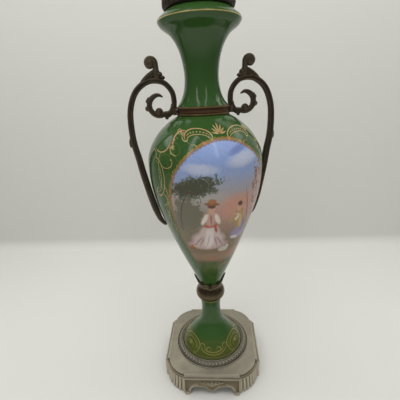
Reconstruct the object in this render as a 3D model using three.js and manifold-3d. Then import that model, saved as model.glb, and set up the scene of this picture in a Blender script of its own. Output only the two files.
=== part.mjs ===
// A mantel urn: a porcelain body, neck and bell foot held in cast metal mounts,
// with two scroll handles and a square base with rounded, reeded corners.
// Millimetres, +Z up. The origin is on the table under the middle of the base,
// and the base's front faces -Y.
import * as THREE from "three";
import { mergeVertices } from "three/addons/utils/BufferGeometryUtils.js";
import Module from "manifold-3d";

// Fits
const jointGap = 0.3; // between two pieces that touch
const sink = 1; // solids joined into one casting reach this far into each other
const turnSteps = 22; // sides of a turned piece

// Base, one casting, open underneath
const baseAcross = 152.2; // from one tablet's face to the opposite one
const baseHeight = 36.6; // table to the top of the plate
const plateThickness = 4.5;
const castWall = 4.5; // apron and corner walls
const tabletLength = 84.8; // the straight stretch in the middle of each side
const tabletSlope = 3.8; // how far the plate's edge stands back over a tablet's face
const tabletDrop = 2.7; // how far the sloping edge comes down
const archHeight = 18.2; // table to the underside of the apron
const archStart = 8.5; // width of the foot at each end of a tablet
const pendantDrop = 7.9; // the middle of the apron hangs this far below the arch
const cornerRadius = 40; // round of a corner's bead, seen from above
const cornerSides = 24; // sides that a full turn of it would have
const cornerStep = 3.6; // a tablet's face stands this far in front of the bead's ends
const cornerBeadReach = 3; // that bead stands out this far beyond the plate's edge
const cornerBeadDrop = 8.5; // plate's top to the underside of the bead
const cornerLift = 1.5; // corner wall's bottom above the table
const cornerFlare = 3; // the wall spreads this much from the bead to its bottom
const reedsPerCorner = 7;
const reedDepth = 1.4;
const toeReach = 1.6; // toes stand this far in front of a tablet
const toeHeight = 9;
const bossWidth = 11; // oval boss in the middle of a tablet
const bossHeight = 8.4;
const bossReach = 1.8;
const bossDrop = 4; // its centre below the middle of the tablet's face

// Ring moulding round the porcelain foot, cast with the base
const ringRadius = 61.6;
const ringHeight = 5.3;

// Porcelain
const porcelainWall = 4;
const footRadius = 50;
const footHeight = 90.2;
const footRim = 5.4; // upright rim at the bottom of the bell
const footStemRadius = 15.4;
const footTopRadius = 17.2;
const bodyHeight = 260.9;
const bodyRadius = 77.4;
const bodySeatRadius = 15;
const bodyMouthRadius = 34;
const neckHeight = 105.9;
const neckFootRadius = 33;
const neckThroatRadius = 21.7;
const neckLipRadius = 50.5;
const neckSeatRadius = 39.7; // where the mouth ring stands
const neckSeatWidth = 3.4;

// Metal between the porcelain pieces
const knopHeight = 25.2;
const knopRadius = 23.1;
const knopTopRadius = 18.2;
const knopFootRadius = 16.8;
const leafCount = 8;
const leafTurn = 3; // degrees, the front leaf against the base
const leafLength = 16; // root to tip, measured upwards
const leafSpread = 6.6; // how far a leaf's tip stands out from its root
const leafWidth = 13.5;
const leafThickness = 1.5;
const leafRib = 0.5; // rib down the middle of a leaf
const leafRoot = 2; // a leaf starts this far below the knop's top
const leafSink = 0.2; // and this far inside its side
const collarHeight = 10.6;
const collarRadius = 33.7;
const collarBore = 27;
const collarBead = 1.2;
const mouthHeight = 30.4;
const mouthRadius = 43.3;
const mouthSeatRadius = 41.2;
const mouthCoveRadius = 36.7;
const mouthBore = 35.5;
const mouthLipRadius = 41.5;

// Handles: a long bar that hugs the body, arches over to the collar, and a scroll below
const handleTurn = 12.6; // degrees: the handles' plane against the base's sides
const handleBow = 16.6; // how far the bar stands beyond the body's widest line
const handleRise = 37.7; // collar's middle to the top of the arch's centre line
const handleDrop = 157; // collar's middle down to the bar's tip
const barWidth = 8.6;
const barDepth = 10; // across the handle's plane
const tipWidth = 2.4;
const limbWidth = 7; // where the arch comes down to the collar
const scrollWidth = 7;
const scrollRadius = 12.4; // centre line of the lower scroll
const scrollReach = 21; // collar's edge to the scroll's centre
const scrollRise = 8.6; // collar's middle up to the scroll's centre
const scrollTurn = 118; // degrees the scroll goes round below and above its outermost point
const rootThickness = 5; // pad that lies against the collar
const apexLeafLength = 30; // pointed leaf on top of the arch
const apexLeafHeight = 16;
const apexLeafSink = 3; // its ends start this far below the arch's centre line
const voluteRadius = 7.6; // volute on top of the arch
const voluteRise = 19.8; // above the arch's centre line
const voluteReach = 4.4; // its centre, outwards from the arch's crown
const stemRise = 9; // its stem starts this far above the arch's centre line
const rollReach = 7; // upper roll behind the leaf, inwards from the crown
const rollRise = 8;
const rollRadius = 3;
const lowRollReach = 10; // lower roll
const lowRollRise = 3.4;
const lowRollRadius = 2.6;
const stemWidth = 6; // the volute's stem
const innerBudRadius = 5.2; // bud inside the scroll
const outerBudRadius = 3.4; // bud on its outer side
const smallBudRadius = 2.6; // the other buds
const huggingGap = 0.6; // bar to porcelain

// Where each piece starts, from the table up
const footZ = baseHeight + jointGap;
const knopZ = footZ + footHeight + jointGap;
const bodyZ = knopZ + knopHeight + jointGap;
const collarZ = bodyZ + bodyHeight + jointGap;
const neckZ = collarZ + collarHeight + jointGap;
const mouthZ = neckZ + neckHeight + jointGap;
const collarMiddle = collarZ + collarHeight / 2;

const wasm = await Module();
wasm.setup();

const porcelain = new THREE.MeshStandardMaterial({ color: 0x35602b, roughness: 0.12, metalness: 0 });
const darkMetal = new THREE.MeshStandardMaterial({ color: 0x3a3029, roughness: 0.45, metalness: 0.85 });
const greyMetal = new THREE.MeshStandardMaterial({ color: 0x8d8472, roughness: 0.42, metalness: 0.85 });

// A closed geometry as a solid that can be joined and cut.
function solid(geometry) {
  const bare = geometry.clone();
  bare.deleteAttribute("normal");
  bare.deleteAttribute("uv");
  const merged = mergeVertices(bare, 1e-3);
  const vertProperties = new Float32Array(merged.attributes.position.array);
  const triVerts = new Uint32Array(merged.index.array);
  return new wasm.Manifold(new wasm.Mesh({ numProp: 3, vertProperties, triVerts }));
}

// The solids' union, difference or common part as one geometry again.
function geometryOf(made) {
  const mesh = made.getMesh();
  const geometry = new THREE.BufferGeometry();
  geometry.setAttribute("position", new THREE.BufferAttribute(mesh.vertProperties, 3));
  geometry.setIndex(new THREE.BufferAttribute(mesh.triVerts, 1));
  return geometry;
}

const joined = (solids) => solids.reduce((whole, piece) => whole.add(piece));

function named(name, geometry, material) {
  const mesh = new THREE.Mesh(geometry, material);
  mesh.name = name;
  return mesh;
}

// A smooth line through [radius, height] points, as evenly spaced points.
function smooth(points, steps) {
  const through = points.map(([r, z]) => new THREE.Vector3(r, z, 0));
  const curve = new THREE.CatmullRomCurve3(through, false, "centripetal");
  return curve.getSpacedPoints(steps).map((p) => new THREE.Vector2(p.x, p.y));
}

// A profile of [radius, height] points turned about Z. It goes up outside and down inside.
function turned(profile, steps = turnSteps) {
  const points = profile.map((p) => (Array.isArray(p) ? new THREE.Vector2(...p) : p));
  return new THREE.LatheGeometry(points, steps).rotateX(Math.PI / 2);
}

// An outline that goes up, moved inwards by the wall's thickness.
function inset(outline, wall) {
  return outline.map((point, i) => {
    const before = outline[Math.max(i - 1, 0)];
    const after = outline[Math.min(i + 1, outline.length - 1)];
    const way = after.clone().sub(before).normalize();
    return new THREE.Vector2(point.x - way.y * wall, point.y + way.x * wall);
  });
}

// The radius of an outline at a height.
function radiusAt(outline, z) {
  const i = outline.findIndex((p) => p.y >= z);
  if (i < 1) return outline[i === 0 ? 0 : outline.length - 1].x;
  const [a, b] = [outline[i - 1], outline[i]];
  return a.x + ((b.x - a.x) * (z - a.y)) / (b.y - a.y);
}

// Outlines of the porcelain pieces, as shares of their own height and widest radius
const bodyShape = [
  [0.071, 0.291],
  [0.202, 0.485],
  [0.393, 0.737],
  [0.584, 0.939],
  [0.718, 1],
  [0.821, 0.977],
  [0.912, 0.81],
  [0.973, 0.588],
];
const bodyPoints = [
  [bodySeatRadius, bodyZ],
  ...bodyShape.map(([up, out]) => [out * bodyRadius, bodyZ + up * bodyHeight]),
  [bodyMouthRadius, bodyZ + bodyHeight],
];
const bodyOutline = smooth(bodyPoints, 15);

// The inner side of each porcelain wall follows the same points in fewer rows.
function makeBody() {
  const top = bodyZ + bodyHeight;
  const floor = bodyZ + 2 * porcelainWall;
  const floorRadius = radiusAt(bodyOutline, floor) - porcelainWall;
  const inside = inset(smooth(bodyPoints, 8), porcelainWall)
    .filter((p) => p.y > floor + porcelainWall && p.y < top - porcelainWall)
    .reverse();
  const mouth = bodyMouthRadius - porcelainWall;
  const profile = [[0, bodyZ], ...bodyOutline, [mouth, top], ...inside, [floorRadius, floor], [0, floor]];
  return named("body", turned(profile), porcelain);
}

function makeFoot() {
  const up = (share) => footZ + share * footHeight;
  const shape = [
    [0.096, 0.97],
    [0.141, 0.91],
    [0.207, 0.8],
    [0.296, 0.66],
    [0.385, 0.53],
    [0.473, 0.42],
  ];
  const points = [
    [footRadius, footZ + footRim],
    ...shape.map(([share, out]) => [out * footRadius, up(share)]),
    [footStemRadius * 1.136, up(0.573)],
    [footStemRadius, up(0.74)],
    [footStemRadius * 1.01, up(0.87)],
    [footTopRadius, up(1)],
  ];
  const outline = smooth(points, 10);
  const inside = inset(smooth(points, 6), porcelainWall)
    .filter((p) => p.y < up(0.75))
    .reverse();
  const profile = [
    [footRadius - porcelainWall, footZ],
    [footRadius, footZ],
    ...outline,
    [0, up(1)],
    [0, inside[0].y + porcelainWall],
    ...inside,
    [footRadius - porcelainWall, footZ],
  ];
  return named("foot", turned(profile), porcelain);
}

function makeNeck() {
  const lipZ = neckZ + 0.893 * neckHeight;
  const seatZ = neckZ + neckHeight;
  const flare = neckFootRadius - neckThroatRadius;
  const bell = neckLipRadius - neckThroatRadius;
  const points = [
    [neckFootRadius, neckZ],
    [neckThroatRadius + 0.557 * flare, neckZ + 0.067 * neckHeight],
    [neckThroatRadius + 0.15 * flare, neckZ + 0.185 * neckHeight],
    [neckThroatRadius, neckZ + 0.355 * neckHeight],
    [neckThroatRadius + 0.174 * bell, neckZ + 0.61 * neckHeight],
    [neckThroatRadius + 0.51 * bell, neckZ + 0.77 * neckHeight],
    [neckThroatRadius + 0.89 * bell, neckZ + 0.849 * neckHeight],
    [neckLipRadius, lipZ],
  ];
  const outline = smooth(points, 12);
  const out = (share) => neckSeatRadius + share * (neckLipRadius - neckSeatRadius);
  const lip = [
    [out(0.963), lipZ + 0.022 * neckHeight],
    [out(0.6), seatZ - 0.05 * neckHeight],
    [neckSeatRadius, seatZ],
    [neckSeatRadius - neckSeatWidth, seatZ],
  ];
  const inside = inset(smooth(points, 6), porcelainWall).slice(1, -1).reverse();
  const mouth = [neckSeatRadius - neckSeatWidth, lipZ];
  const bottom = [neckFootRadius - porcelainWall, neckZ];
  const profile = [...outline, ...lip, mouth, ...inside, bottom, [neckFootRadius, neckZ]];
  return named("neck", turned(profile), porcelain);
}

function makeCollar() {
  const [low, high] = [collarZ, collarZ + collarHeight];
  const bead = collarRadius + collarBead;
  const profile = [
    [collarBore, low],
    [collarRadius, low],
    [bead, low + collarBead],
    [collarRadius, low + 2 * collarBead],
    [collarRadius, high - 2 * collarBead],
    [bead, high - collarBead],
    [collarRadius, high],
    [collarBore, high],
    [collarBore, low],
  ];
  return named("collar", turned(profile), darkMetal);
}

function makeMouthRing() {
  const up = (share) => mouthZ + share * mouthHeight;
  const profile = [
    [mouthBore, mouthZ],
    [mouthSeatRadius, mouthZ],
    [mouthRadius, up(0.13)],
    [mouthRadius, up(0.42)],
    [mouthSeatRadius, up(0.55)],
    [mouthCoveRadius, up(0.66)],
    [mouthCoveRadius, up(0.78)],
    [mouthLipRadius, up(0.9)],
    [mouthLipRadius, up(1)],
    [mouthBore, up(1)],
    [mouthBore, mouthZ],
  ];
  return named("mouth_ring", turned(profile), darkMetal);
}

// One leaf of the calyx: a block of [across, up, thickness] shares laid along its curve.
function makeLeaf(turn) {
  const geometry = new THREE.BoxGeometry(1, 1, 1, 2, 3, 1);
  const spots = geometry.attributes.position;
  const rootZ = knopZ + knopHeight - leafRoot;
  for (let i = 0; i < spots.count; i++) {
    const up = spots.getY(i) + 0.5;
    const width = leafWidth * (0.62 + 0.5 * Math.sin(Math.PI * up * 0.62) - 0.74 * up ** 4);
    const curl = leafSpread * up ** 1.7;
    const rib = Math.abs(spots.getX(i)) < 0.1 ? leafRib : 0;
    const out = knopTopRadius - leafSink + curl + (spots.getZ(i) + 0.5) * leafThickness + rib;
    const angle = turn + (spots.getX(i) * width) / (knopTopRadius + curl);
    const z = rootZ + up * (leafLength + leafRoot);
    spots.setXYZ(i, out * Math.sin(angle), -out * Math.cos(angle), z);
  }
  return solid(geometry);
}

function makeKnop() {
  const up = (share) => knopZ + share * knopHeight;
  const ball = smooth(
    [
      [knopFootRadius, knopZ],
      [0.93 * knopRadius, up(0.15)],
      [knopRadius, up(0.38)],
      [0.96 * knopRadius, up(0.6)],
      [knopTopRadius + 0.3, up(0.88)],
      [knopTopRadius, up(1)],
    ],
    8,
  );
  const pieces = [solid(turned([[0, knopZ], ...ball, [0, up(1)]]))];
  for (let i = 0; i < leafCount; i++) {
    const turn = THREE.MathUtils.degToRad(leafTurn + (i * 360) / leafCount);
    pieces.push(makeLeaf(turn));
  }
  return named("knop", geometryOf(joined(pieces)), darkMetal);
}

// A bar with rounded section along a line in the handle's plane.
// width(t) is its width in the plane at each share t of its length.
function barAlong(points, steps, width, sides = 8) {
  const through = points.map(([r, z]) => new THREE.Vector3(r, 0, z));
  const curve = new THREE.CatmullRomCurve3(through, false, "centripetal");
  const geometry = new THREE.CylinderGeometry(1, 1, 1, sides, steps).rotateY(Math.PI / sides);
  const spots = geometry.attributes.position;
  const depth = barDepth / barWidth;
  for (let i = 0; i < spots.count; i++) {
    const t = 0.5 - spots.getY(i);
    const centre = curve.getPointAt(t);
    const way = curve.getTangentAt(t);
    const half = width(t) / 2;
    const out = spots.getX(i) * half;
    const side = spots.getZ(i) * half * depth;
    spots.setXYZ(i, centre.x + way.z * out, side, centre.z - way.x * out);
  }
  return solid(geometry);
}

// A flattened ball at a place in the handle's plane.
function bud(r, z, radius, height = radius, depth = radius) {
  const sides = radius > 4 ? 8 : 6;
  const ball = new THREE.SphereGeometry(1, sides, sides - 2).rotateX(Math.PI / 2);
  return solid(ball.scale(radius, depth, height).translate(r, 0, z));
}

const rootRadius = collarRadius + collarBead + jointGap;
const reachRadius = bodyRadius + handleBow;

// The long bar: its foot lies along the body, then it bows out, arches over and comes down.
function barPoints() {
  const from = (share) => collarMiddle - share * handleDrop;
  const over = (z) => radiusAt(bodyOutline, z);
  const hug = [1, 0.93, 0.85, 0.77, 0.7].map((share, i) => {
    const half = (i === 0 ? tipWidth : barWidth) / 2;
    return [over(from(share)) + 1.1 * half + huggingGap, from(share)];
  });
  const bow = [
    [0.63, 0.35],
    [0.495, 0.49],
    [0.365, 0.74],
  ].map(([share, away]) => [over(from(share)) + away * handleBow, from(share)]);
  const arch = [
    [0.98, -0.239 * handleDrop],
    [1, -0.082 * handleDrop],
    [0.972, 0.135 * handleRise],
    [0.86, 0.6 * handleRise],
    [0.714, 0.852 * handleRise],
    [0.5, handleRise],
    [0.228, 0.934 * handleRise],
    [0.06, 0.63 * handleRise],
    [0.03, 0.3 * handleRise],
    [0.05, 0.06 * handleRise],
  ].map(([out, up]) => [rootRadius + out * (reachRadius - rootRadius), collarMiddle + up]);
  return [...hug, ...bow, ...arch];
}

function barWidthAt(t) {
  if (t < 0.12) return tipWidth + (barWidth - tipWidth) * Math.sqrt(t / 0.12);
  if (t < 0.7) return barWidth;
  return barWidth + (limbWidth - barWidth) * Math.min((t - 0.7) / 0.12, 1);
}

const scrollCentre = [rootRadius + scrollReach, collarMiddle + scrollRise];

function scrollPoints() {
  const points = [[rootRadius + 1.5, collarMiddle + 1]];
  points.push([rootRadius + 0.28 * scrollReach, collarMiddle - 0.75]);
  const [r, z] = scrollCentre;
  for (let step = -4; step <= 4; step++) {
    const angle = THREE.MathUtils.degToRad((step * scrollTurn) / 4);
    const radius = step === 4 ? 0.9 * scrollRadius : scrollRadius;
    points.push([r + radius * Math.cos(angle), z + radius * Math.sin(angle)]);
  }
  return points;
}

const scrollWidthAt = (t) => (t < 0.72 ? scrollWidth : scrollWidth * (1 - 0.75 * ((t - 0.72) / 0.28) ** 2));

// The pointed leaf on top of the arch and the volute that rises from it
function makeFinial() {
  const crown = rootRadius + 0.4 * (reachRadius - rootRadius);
  const archTop = collarMiddle + handleRise;
  const across = (share) => crown + share * apexLeafLength;
  const up = (share) => archTop - apexLeafSink + share * apexLeafHeight;
  const leaf = new THREE.Shape();
  leaf.moveTo(across(0.6), up(0.02));
  leaf.quadraticCurveTo(across(0.3), up(0.5), across(0.07), up(1));
  leaf.lineTo(across(-0.12), up(1));
  leaf.quadraticCurveTo(across(-0.15), up(0.56), across(-0.4), up(0));
  const depth = 0.8 * barDepth;
  const block = new THREE.ExtrudeGeometry(leaf, { depth, bevelEnabled: false, curveSegments: 3 });
  block.rotateX(Math.PI / 2).translate(0, depth / 2, 0);
  const volute = [crown + voluteReach, archTop + voluteRise];
  const stem = [
    [crown - 0.8, archTop + stemRise],
    [crown - 2.4, archTop + 0.9 * voluteRise],
    [crown - 1.2, archTop + voluteRise + 0.4 * voluteRadius],
    [volute[0] - 1.5, volute[1] + 0.55 * voluteRadius],
  ];
  return [
    solid(block),
    barAlong(stem, 5, () => stemWidth, 6),
    bud(...volute, voluteRadius, voluteRadius, 0.68 * voluteRadius),
    bud(crown - rollReach, archTop + rollRise, rollRadius),
    bud(crown - lowRollReach, archTop + lowRollRise, lowRollRadius),
  ];
}

function makeHandle(name) {
  const [scrollR, scrollZ] = scrollCentre;
  const rootDepth = barDepth + 1;
  const rootHeight = collarHeight - 1.6;
  const root = new THREE.BoxGeometry(rootThickness, rootDepth, rootHeight);
  root.translate(rootRadius + rootThickness / 2, 0, collarMiddle);
  // After the bar, scroll, root and finial come the buds round the scroll, and one on the bar.
  const pieces = [
    barAlong(barPoints(), 19, barWidthAt),
    barAlong(scrollPoints(), 12, scrollWidthAt, 6),
    solid(root),
    ...makeFinial(),
    bud(scrollR + 0.06 * scrollRadius, scrollZ - 0.64 * scrollRadius, innerBudRadius),
    bud(scrollR + 1.2 * scrollRadius, scrollZ - 0.27 * scrollRadius, outerBudRadius),
    bud(scrollR + 1.08 * scrollRadius, scrollZ + 0.43 * scrollRadius, smallBudRadius, 1.7 * smallBudRadius),
    bud(scrollR - 0.68 * scrollRadius, scrollZ - 1.24 * scrollRadius, smallBudRadius),
    bud(reachRadius + 0.3 * barWidth, collarMiddle - 0.24 * handleDrop, smallBudRadius),
  ];
  return named(name, geometryOf(joined(pieces)), darkMetal);
}

const half = baseAcross / 2;
const plateHalf = half - tabletSlope;
const tabletEnd = tabletLength / 2;
const cornerWallRadius = cornerRadius - reedDepth;

// A corner's centre lies on the diagonal, so that its bead meets the two tablets beside it.
const beadEnd = half - cornerStep;
const cornerAcross = Math.sqrt(2 * cornerRadius ** 2 - (beadEnd - tabletEnd) ** 2);
const cornerCentre = (tabletEnd + beadEnd - cornerAcross) / 2;

const box = (x, y, low, high) =>
  solid(new THREE.BoxGeometry(2 * x, 2 * y, high - low).translate(0, 0, (low + high) / 2));

// A solid and its copies on the other three sides of the base
function fourSides(piece) {
  return joined([0, 90, 180, 270].map((degrees) => piece.rotate([0, 0, degrees])));
}

// Front tablet: the sloping edge, the upright face with its arch, and the toes at both ends
function makeTablet() {
  const faceTop = baseHeight - tabletDrop;
  const back = half - castWall - 2 * sink;
  const edge = new THREE.Shape();
  edge.moveTo(back, faceTop - sink);
  edge.lineTo(half, faceTop - sink);
  edge.lineTo(half, faceTop);
  edge.quadraticCurveTo(plateHalf + 0.4 * tabletSlope, faceTop + 0.4, plateHalf, baseHeight);
  edge.lineTo(back, baseHeight);
  const rail = new THREE.ExtrudeGeometry(edge, {
    depth: tabletLength,
    bevelEnabled: false,
    curveSegments: 3,
  });
  const along = new THREE.Matrix4().makeBasis(
    new THREE.Vector3(0, -1, 0),
    new THREE.Vector3(0, 0, 1),
    new THREE.Vector3(-1, 0, 0),
  );
  rail.applyMatrix4(along).translate(tabletEnd, 0, 0);

  const apron = new THREE.Shape();
  const inner = tabletEnd - archStart;
  apron.moveTo(-tabletEnd, faceTop);
  apron.lineTo(-tabletEnd, 0);
  apron.lineTo(-inner, 0);
  apron.quadraticCurveTo(-inner, archHeight, -0.55 * tabletEnd, archHeight);
  apron.lineTo(-0.24 * tabletEnd, archHeight - 1);
  apron.quadraticCurveTo(-0.1 * tabletEnd, archHeight - pendantDrop + 1.5, 0, archHeight - pendantDrop);
  apron.quadraticCurveTo(0.1 * tabletEnd, archHeight - pendantDrop + 1.5, 0.24 * tabletEnd, archHeight - 1);
  apron.lineTo(0.55 * tabletEnd, archHeight);
  apron.quadraticCurveTo(inner, archHeight, inner, 0);
  apron.lineTo(tabletEnd, 0);
  apron.lineTo(tabletEnd, faceTop);
  const face = new THREE.ExtrudeGeometry(apron, { depth: castWall, bevelEnabled: false, curveSegments: 3 });
  face.rotateX(Math.PI / 2).translate(0, castWall - half, 0);

  const pieces = [solid(rail), solid(face)];
  for (const side of [-1, 1]) {
    const toe = new THREE.SphereGeometry(1, 6, 4).rotateX(Math.PI / 2);
    toe.scale(0.5 * archStart, toeReach + 2 * sink, 0.5 * toeHeight);
    toe.translate(side * (tabletEnd - 0.5 * archStart), 2 * sink - half, 0.36 * toeHeight);
    pieces.push(solid(toe));
    // A rib behind the tablet's end joins it to the corner's wall.
    const rib = new THREE.BoxGeometry(3 * sink, 3 * sink, faceTop - cornerLift);
    const ribY = castWall + 0.5 * sink - half;
    rib.translate(side * (tabletEnd - 1.5 * sink), ribY, 0.5 * (faceTop + cornerLift));
    pieces.push(solid(rib));
  }
  const boss = new THREE.SphereGeometry(1, 6, 4).scale(0.5 * bossWidth, bossReach, 0.5 * bossHeight);
  pieces.push(solid(boss.translate(0, -half, 0.5 * (archHeight + faceTop) - bossDrop)));
  return joined(pieces);
}

// One corner's reeded wall, wider at the bottom than at the bead
function makeCornerWall() {
  const height = baseHeight - cornerBeadDrop + sink - cornerLift;
  const start = Math.acos((tabletEnd - sink - cornerCentre) / cornerWallRadius);
  const sweep = 2 * start - Math.PI / 2;
  const stepsPerReed = 2;
  const steps = stepsPerReed * reedsPerCorner;
  const plan = new THREE.Shape();
  plan.moveTo(0, 0);
  for (let i = 0; i <= steps; i++) {
    const angle = Math.PI / 2 - start + (sweep * i) / steps;
    const radius = cornerWallRadius + reedDepth * Math.abs(Math.sin((Math.PI * i) / stepsPerReed));
    plan.lineTo(radius * Math.cos(angle), radius * Math.sin(angle));
  }
  const wall = new THREE.ExtrudeGeometry(plan, { depth: height, bevelEnabled: false });
  const spots = wall.attributes.position;
  for (let i = 0; i < spots.count; i++) {
    if (spots.getZ(i) > 0.5 * height) continue;
    const grow = 1 + cornerFlare / cornerWallRadius;
    spots.setXY(i, spots.getX(i) * grow, spots.getY(i) * grow);
  }
  return solid(wall.translate(cornerCentre, cornerCentre, cornerLift));
}

// The plate's round corner: a cove over a bead
function makeCornerPlate() {
  const low = baseHeight - cornerBeadDrop;
  const plateRadius = cornerRadius - cornerBeadReach;
  const out = (share) => plateRadius + share * cornerBeadReach;
  const up = (share) => low + share * cornerBeadDrop;
  const disc = turned(
    [
      [0, low],
      [out(0.6), low],
      [cornerRadius, up(0.165)],
      [out(0.87), up(0.353)],
      [out(0.07), up(0.588)],
      [plateRadius, baseHeight],
      [0, baseHeight],
    ],
    cornerSides,
  ).translate(cornerCentre, cornerCentre, 0);
  const tail = tabletEnd - sink;
  const corner = new THREE.BoxGeometry(cornerRadius, cornerRadius, baseHeight);
  corner.translate(tail + cornerRadius / 2, tail + cornerRadius / 2, baseHeight / 2);
  return solid(disc).intersect(solid(corner));
}

// The ring has as many sides as the foot that it holds, so that their sides stay parallel.
function makeRing() {
  const foot = footRadius + jointGap;
  const out = (share) => foot + share * (ringRadius - foot);
  const up = (share) => baseHeight + share * ringHeight;
  const low = baseHeight - sink;
  const profile = [
    [foot, low],
    [ringRadius, low],
    [ringRadius, up(0.2)],
    [out(0.805), up(0.26)],
    [out(0.664), up(0.7)],
    [out(0.31), up(0.86)],
    [out(0.177), up(0.62)],
    [out(0.106), up(1)],
    [foot, up(0.9)],
    [foot, low],
  ];
  return solid(turned(profile));
}

function makeBase() {
  const under = baseHeight - plateThickness;
  const room = half - castWall;
  const roomEnd = tabletEnd - castWall;
  const roomRadius = cornerWallRadius - castWall;
  const round = new THREE.CylinderGeometry(roomRadius, roomRadius, 2 * under, cornerSides);
  round.rotateX(Math.PI / 2).translate(cornerCentre, cornerCentre, 0);
  const hollow = joined([
    fourSides(solid(round)),
    box(room, roomEnd, -sink, under),
    box(roomEnd, room, -sink, under),
  ]);
  const plate = box(tabletEnd, plateHalf - sink, under - sink, baseHeight);
  const whole = joined([
    plate,
    plate.rotate([0, 0, 90]),
    fourSides(makeCornerPlate()),
    fourSides(makeCornerWall()),
    fourSides(makeTablet()),
  ]);
  const table = box(2 * baseAcross, 2 * baseAcross, -baseHeight, 0);
  const made = whole.subtract(hollow).add(makeRing()).subtract(table);
  return named("base", geometryOf(made), greyMetal);
}

const urn = new THREE.Group();
urn.add(makeBase(), makeFoot(), makeKnop(), makeBody(), makeCollar(), makeNeck(), makeMouthRing());

const handles = new THREE.Group();
handles.rotation.z = THREE.MathUtils.degToRad(handleTurn);
const rightHandle = makeHandle("handle_right");
const leftHandle = makeHandle("handle_left");
leftHandle.rotation.z = Math.PI;
handles.add(rightHandle, leftHandle);
urn.add(handles);

export default urn;
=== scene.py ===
# %% [markdown]
# # A mantel urn of glazed porcelain and cast metal
# The urn is a stack of turned pieces: a bell foot, a body and a neck of green porcelain, with metal between
# them, on a square cast base. Two scroll handles hold the collar between body and neck.
# Everything here is built round a frame that gives each piece its place and size, so the first step is to
# load that frame and to read the boxes of its nodes.

# %% Load the frame
import math

import bmesh
import bpy
from mathutils import Matrix, Quaternion, Vector
from mathutils.geometry import interpolate_bezier


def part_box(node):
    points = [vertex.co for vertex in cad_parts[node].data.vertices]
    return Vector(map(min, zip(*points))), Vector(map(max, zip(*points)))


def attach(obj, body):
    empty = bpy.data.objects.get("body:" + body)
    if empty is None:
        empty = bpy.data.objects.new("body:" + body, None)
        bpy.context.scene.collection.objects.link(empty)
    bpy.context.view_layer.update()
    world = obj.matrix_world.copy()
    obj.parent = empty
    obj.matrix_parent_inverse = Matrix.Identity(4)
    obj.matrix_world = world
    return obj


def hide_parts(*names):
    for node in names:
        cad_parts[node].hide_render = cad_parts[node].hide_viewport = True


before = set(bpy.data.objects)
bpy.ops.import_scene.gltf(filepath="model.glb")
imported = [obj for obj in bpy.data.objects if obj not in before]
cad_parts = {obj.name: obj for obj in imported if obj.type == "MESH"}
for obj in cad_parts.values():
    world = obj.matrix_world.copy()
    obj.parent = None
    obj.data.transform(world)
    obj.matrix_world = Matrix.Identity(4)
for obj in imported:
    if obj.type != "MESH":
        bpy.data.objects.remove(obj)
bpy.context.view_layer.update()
MM = 0.001
print("nodes:", sorted(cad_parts))


# %% [markdown]
# Pieces are modelled in millimetres, because small carving is easier to read in them, and are made metres
# at the end. A turned piece's height and widest radius come from its node in the frame.

# %% Heights and radii of the turned pieces
def measure(node):
    """Lowest and highest point of a node and its widest reach across the base's depth, in millimetres."""
    low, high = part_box(node)
    return low.z / MM, high.z / MM, high.y / MM


foot_low, foot_high, foot_radius = measure("foot")
knop_low = measure("knop")[0]
body_low, body_high, body_radius = measure("body")
collar_low, collar_high, collar_bead_radius = measure("collar")
neck_low, neck_high, neck_radius = measure("neck")
ring_low, ring_high, ring_radius = measure("mouth_ring")
print("body", round(body_low, 1), round(body_high, 1), "radius", round(body_radius, 1))

# %% [markdown]
# ## The view
# The photograph looks down at the urn from a little to the right of the base's front, with a wide lens, and
# is rolled slightly. A camera looks along its own -Z, so one turn aims it and another, about that same axis,
# rolls it.

# %% The camera
CAMERA_PLACE = Vector((0.0190, -0.3943, 0.4351))
CAMERA_AIM = Vector((-0.0685, 0.9396, -0.3355))
CAMERA_ROLL = math.radians(-2.84)
LENS = 25.87

camera = bpy.data.objects.new("camera", bpy.data.cameras.new("camera"))
camera.data.sensor_width = 36
camera.data.lens = LENS
camera.data.clip_start = 0.01
camera.location = CAMERA_PLACE
camera.rotation_mode = "QUATERNION"
camera.rotation_quaternion = CAMERA_AIM.to_track_quat("-Z", "Y") @ Quaternion((0, 0, 1), CAMERA_ROLL)
bpy.context.scene.collection.objects.link(camera)
bpy.context.scene.camera = camera
bpy.context.scene.view_settings.view_transform = "Standard"
print("camera at", tuple(CAMERA_PLACE), "lens", LENS)

# %% [markdown]
# ## Maths on a surface
# A pattern such as gilding is a number worked out at each point of the surface. Written as nodes this is
# long, so a small class wraps a socket: adding or multiplying two of them adds the Math node that does it.
# Any other node comes from one method, which sets the node's own settings first and its sockets after.


# %% Values and finishes
SOFT = 0.5
BUMP_DEPTH = 0.0006


def using(operation, swapped=False):
    """A method that turns a sum into one Math node."""

    def method(self, b):
        return self.finish.maths(operation, *((b, self) if swapped else (self, b)))

    return method


class Value:
    """A socket that can be used in sums, as a number can."""

    def __init__(self, finish, socket):
        self.finish = finish
        self.socket = socket

    def other(self, name):
        return Value(self.finish, self.socket.node.outputs[name])

    def __abs__(self):
        return self.finish.maths("ABSOLUTE", self)

    __add__ = using("ADD")
    __radd__ = using("ADD", swapped=True)
    __sub__ = using("SUBTRACT")
    __rsub__ = using("SUBTRACT", swapped=True)
    __mul__ = using("MULTIPLY")
    __truediv__ = using("DIVIDE")
    __pow__ = using("POWER")


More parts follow.
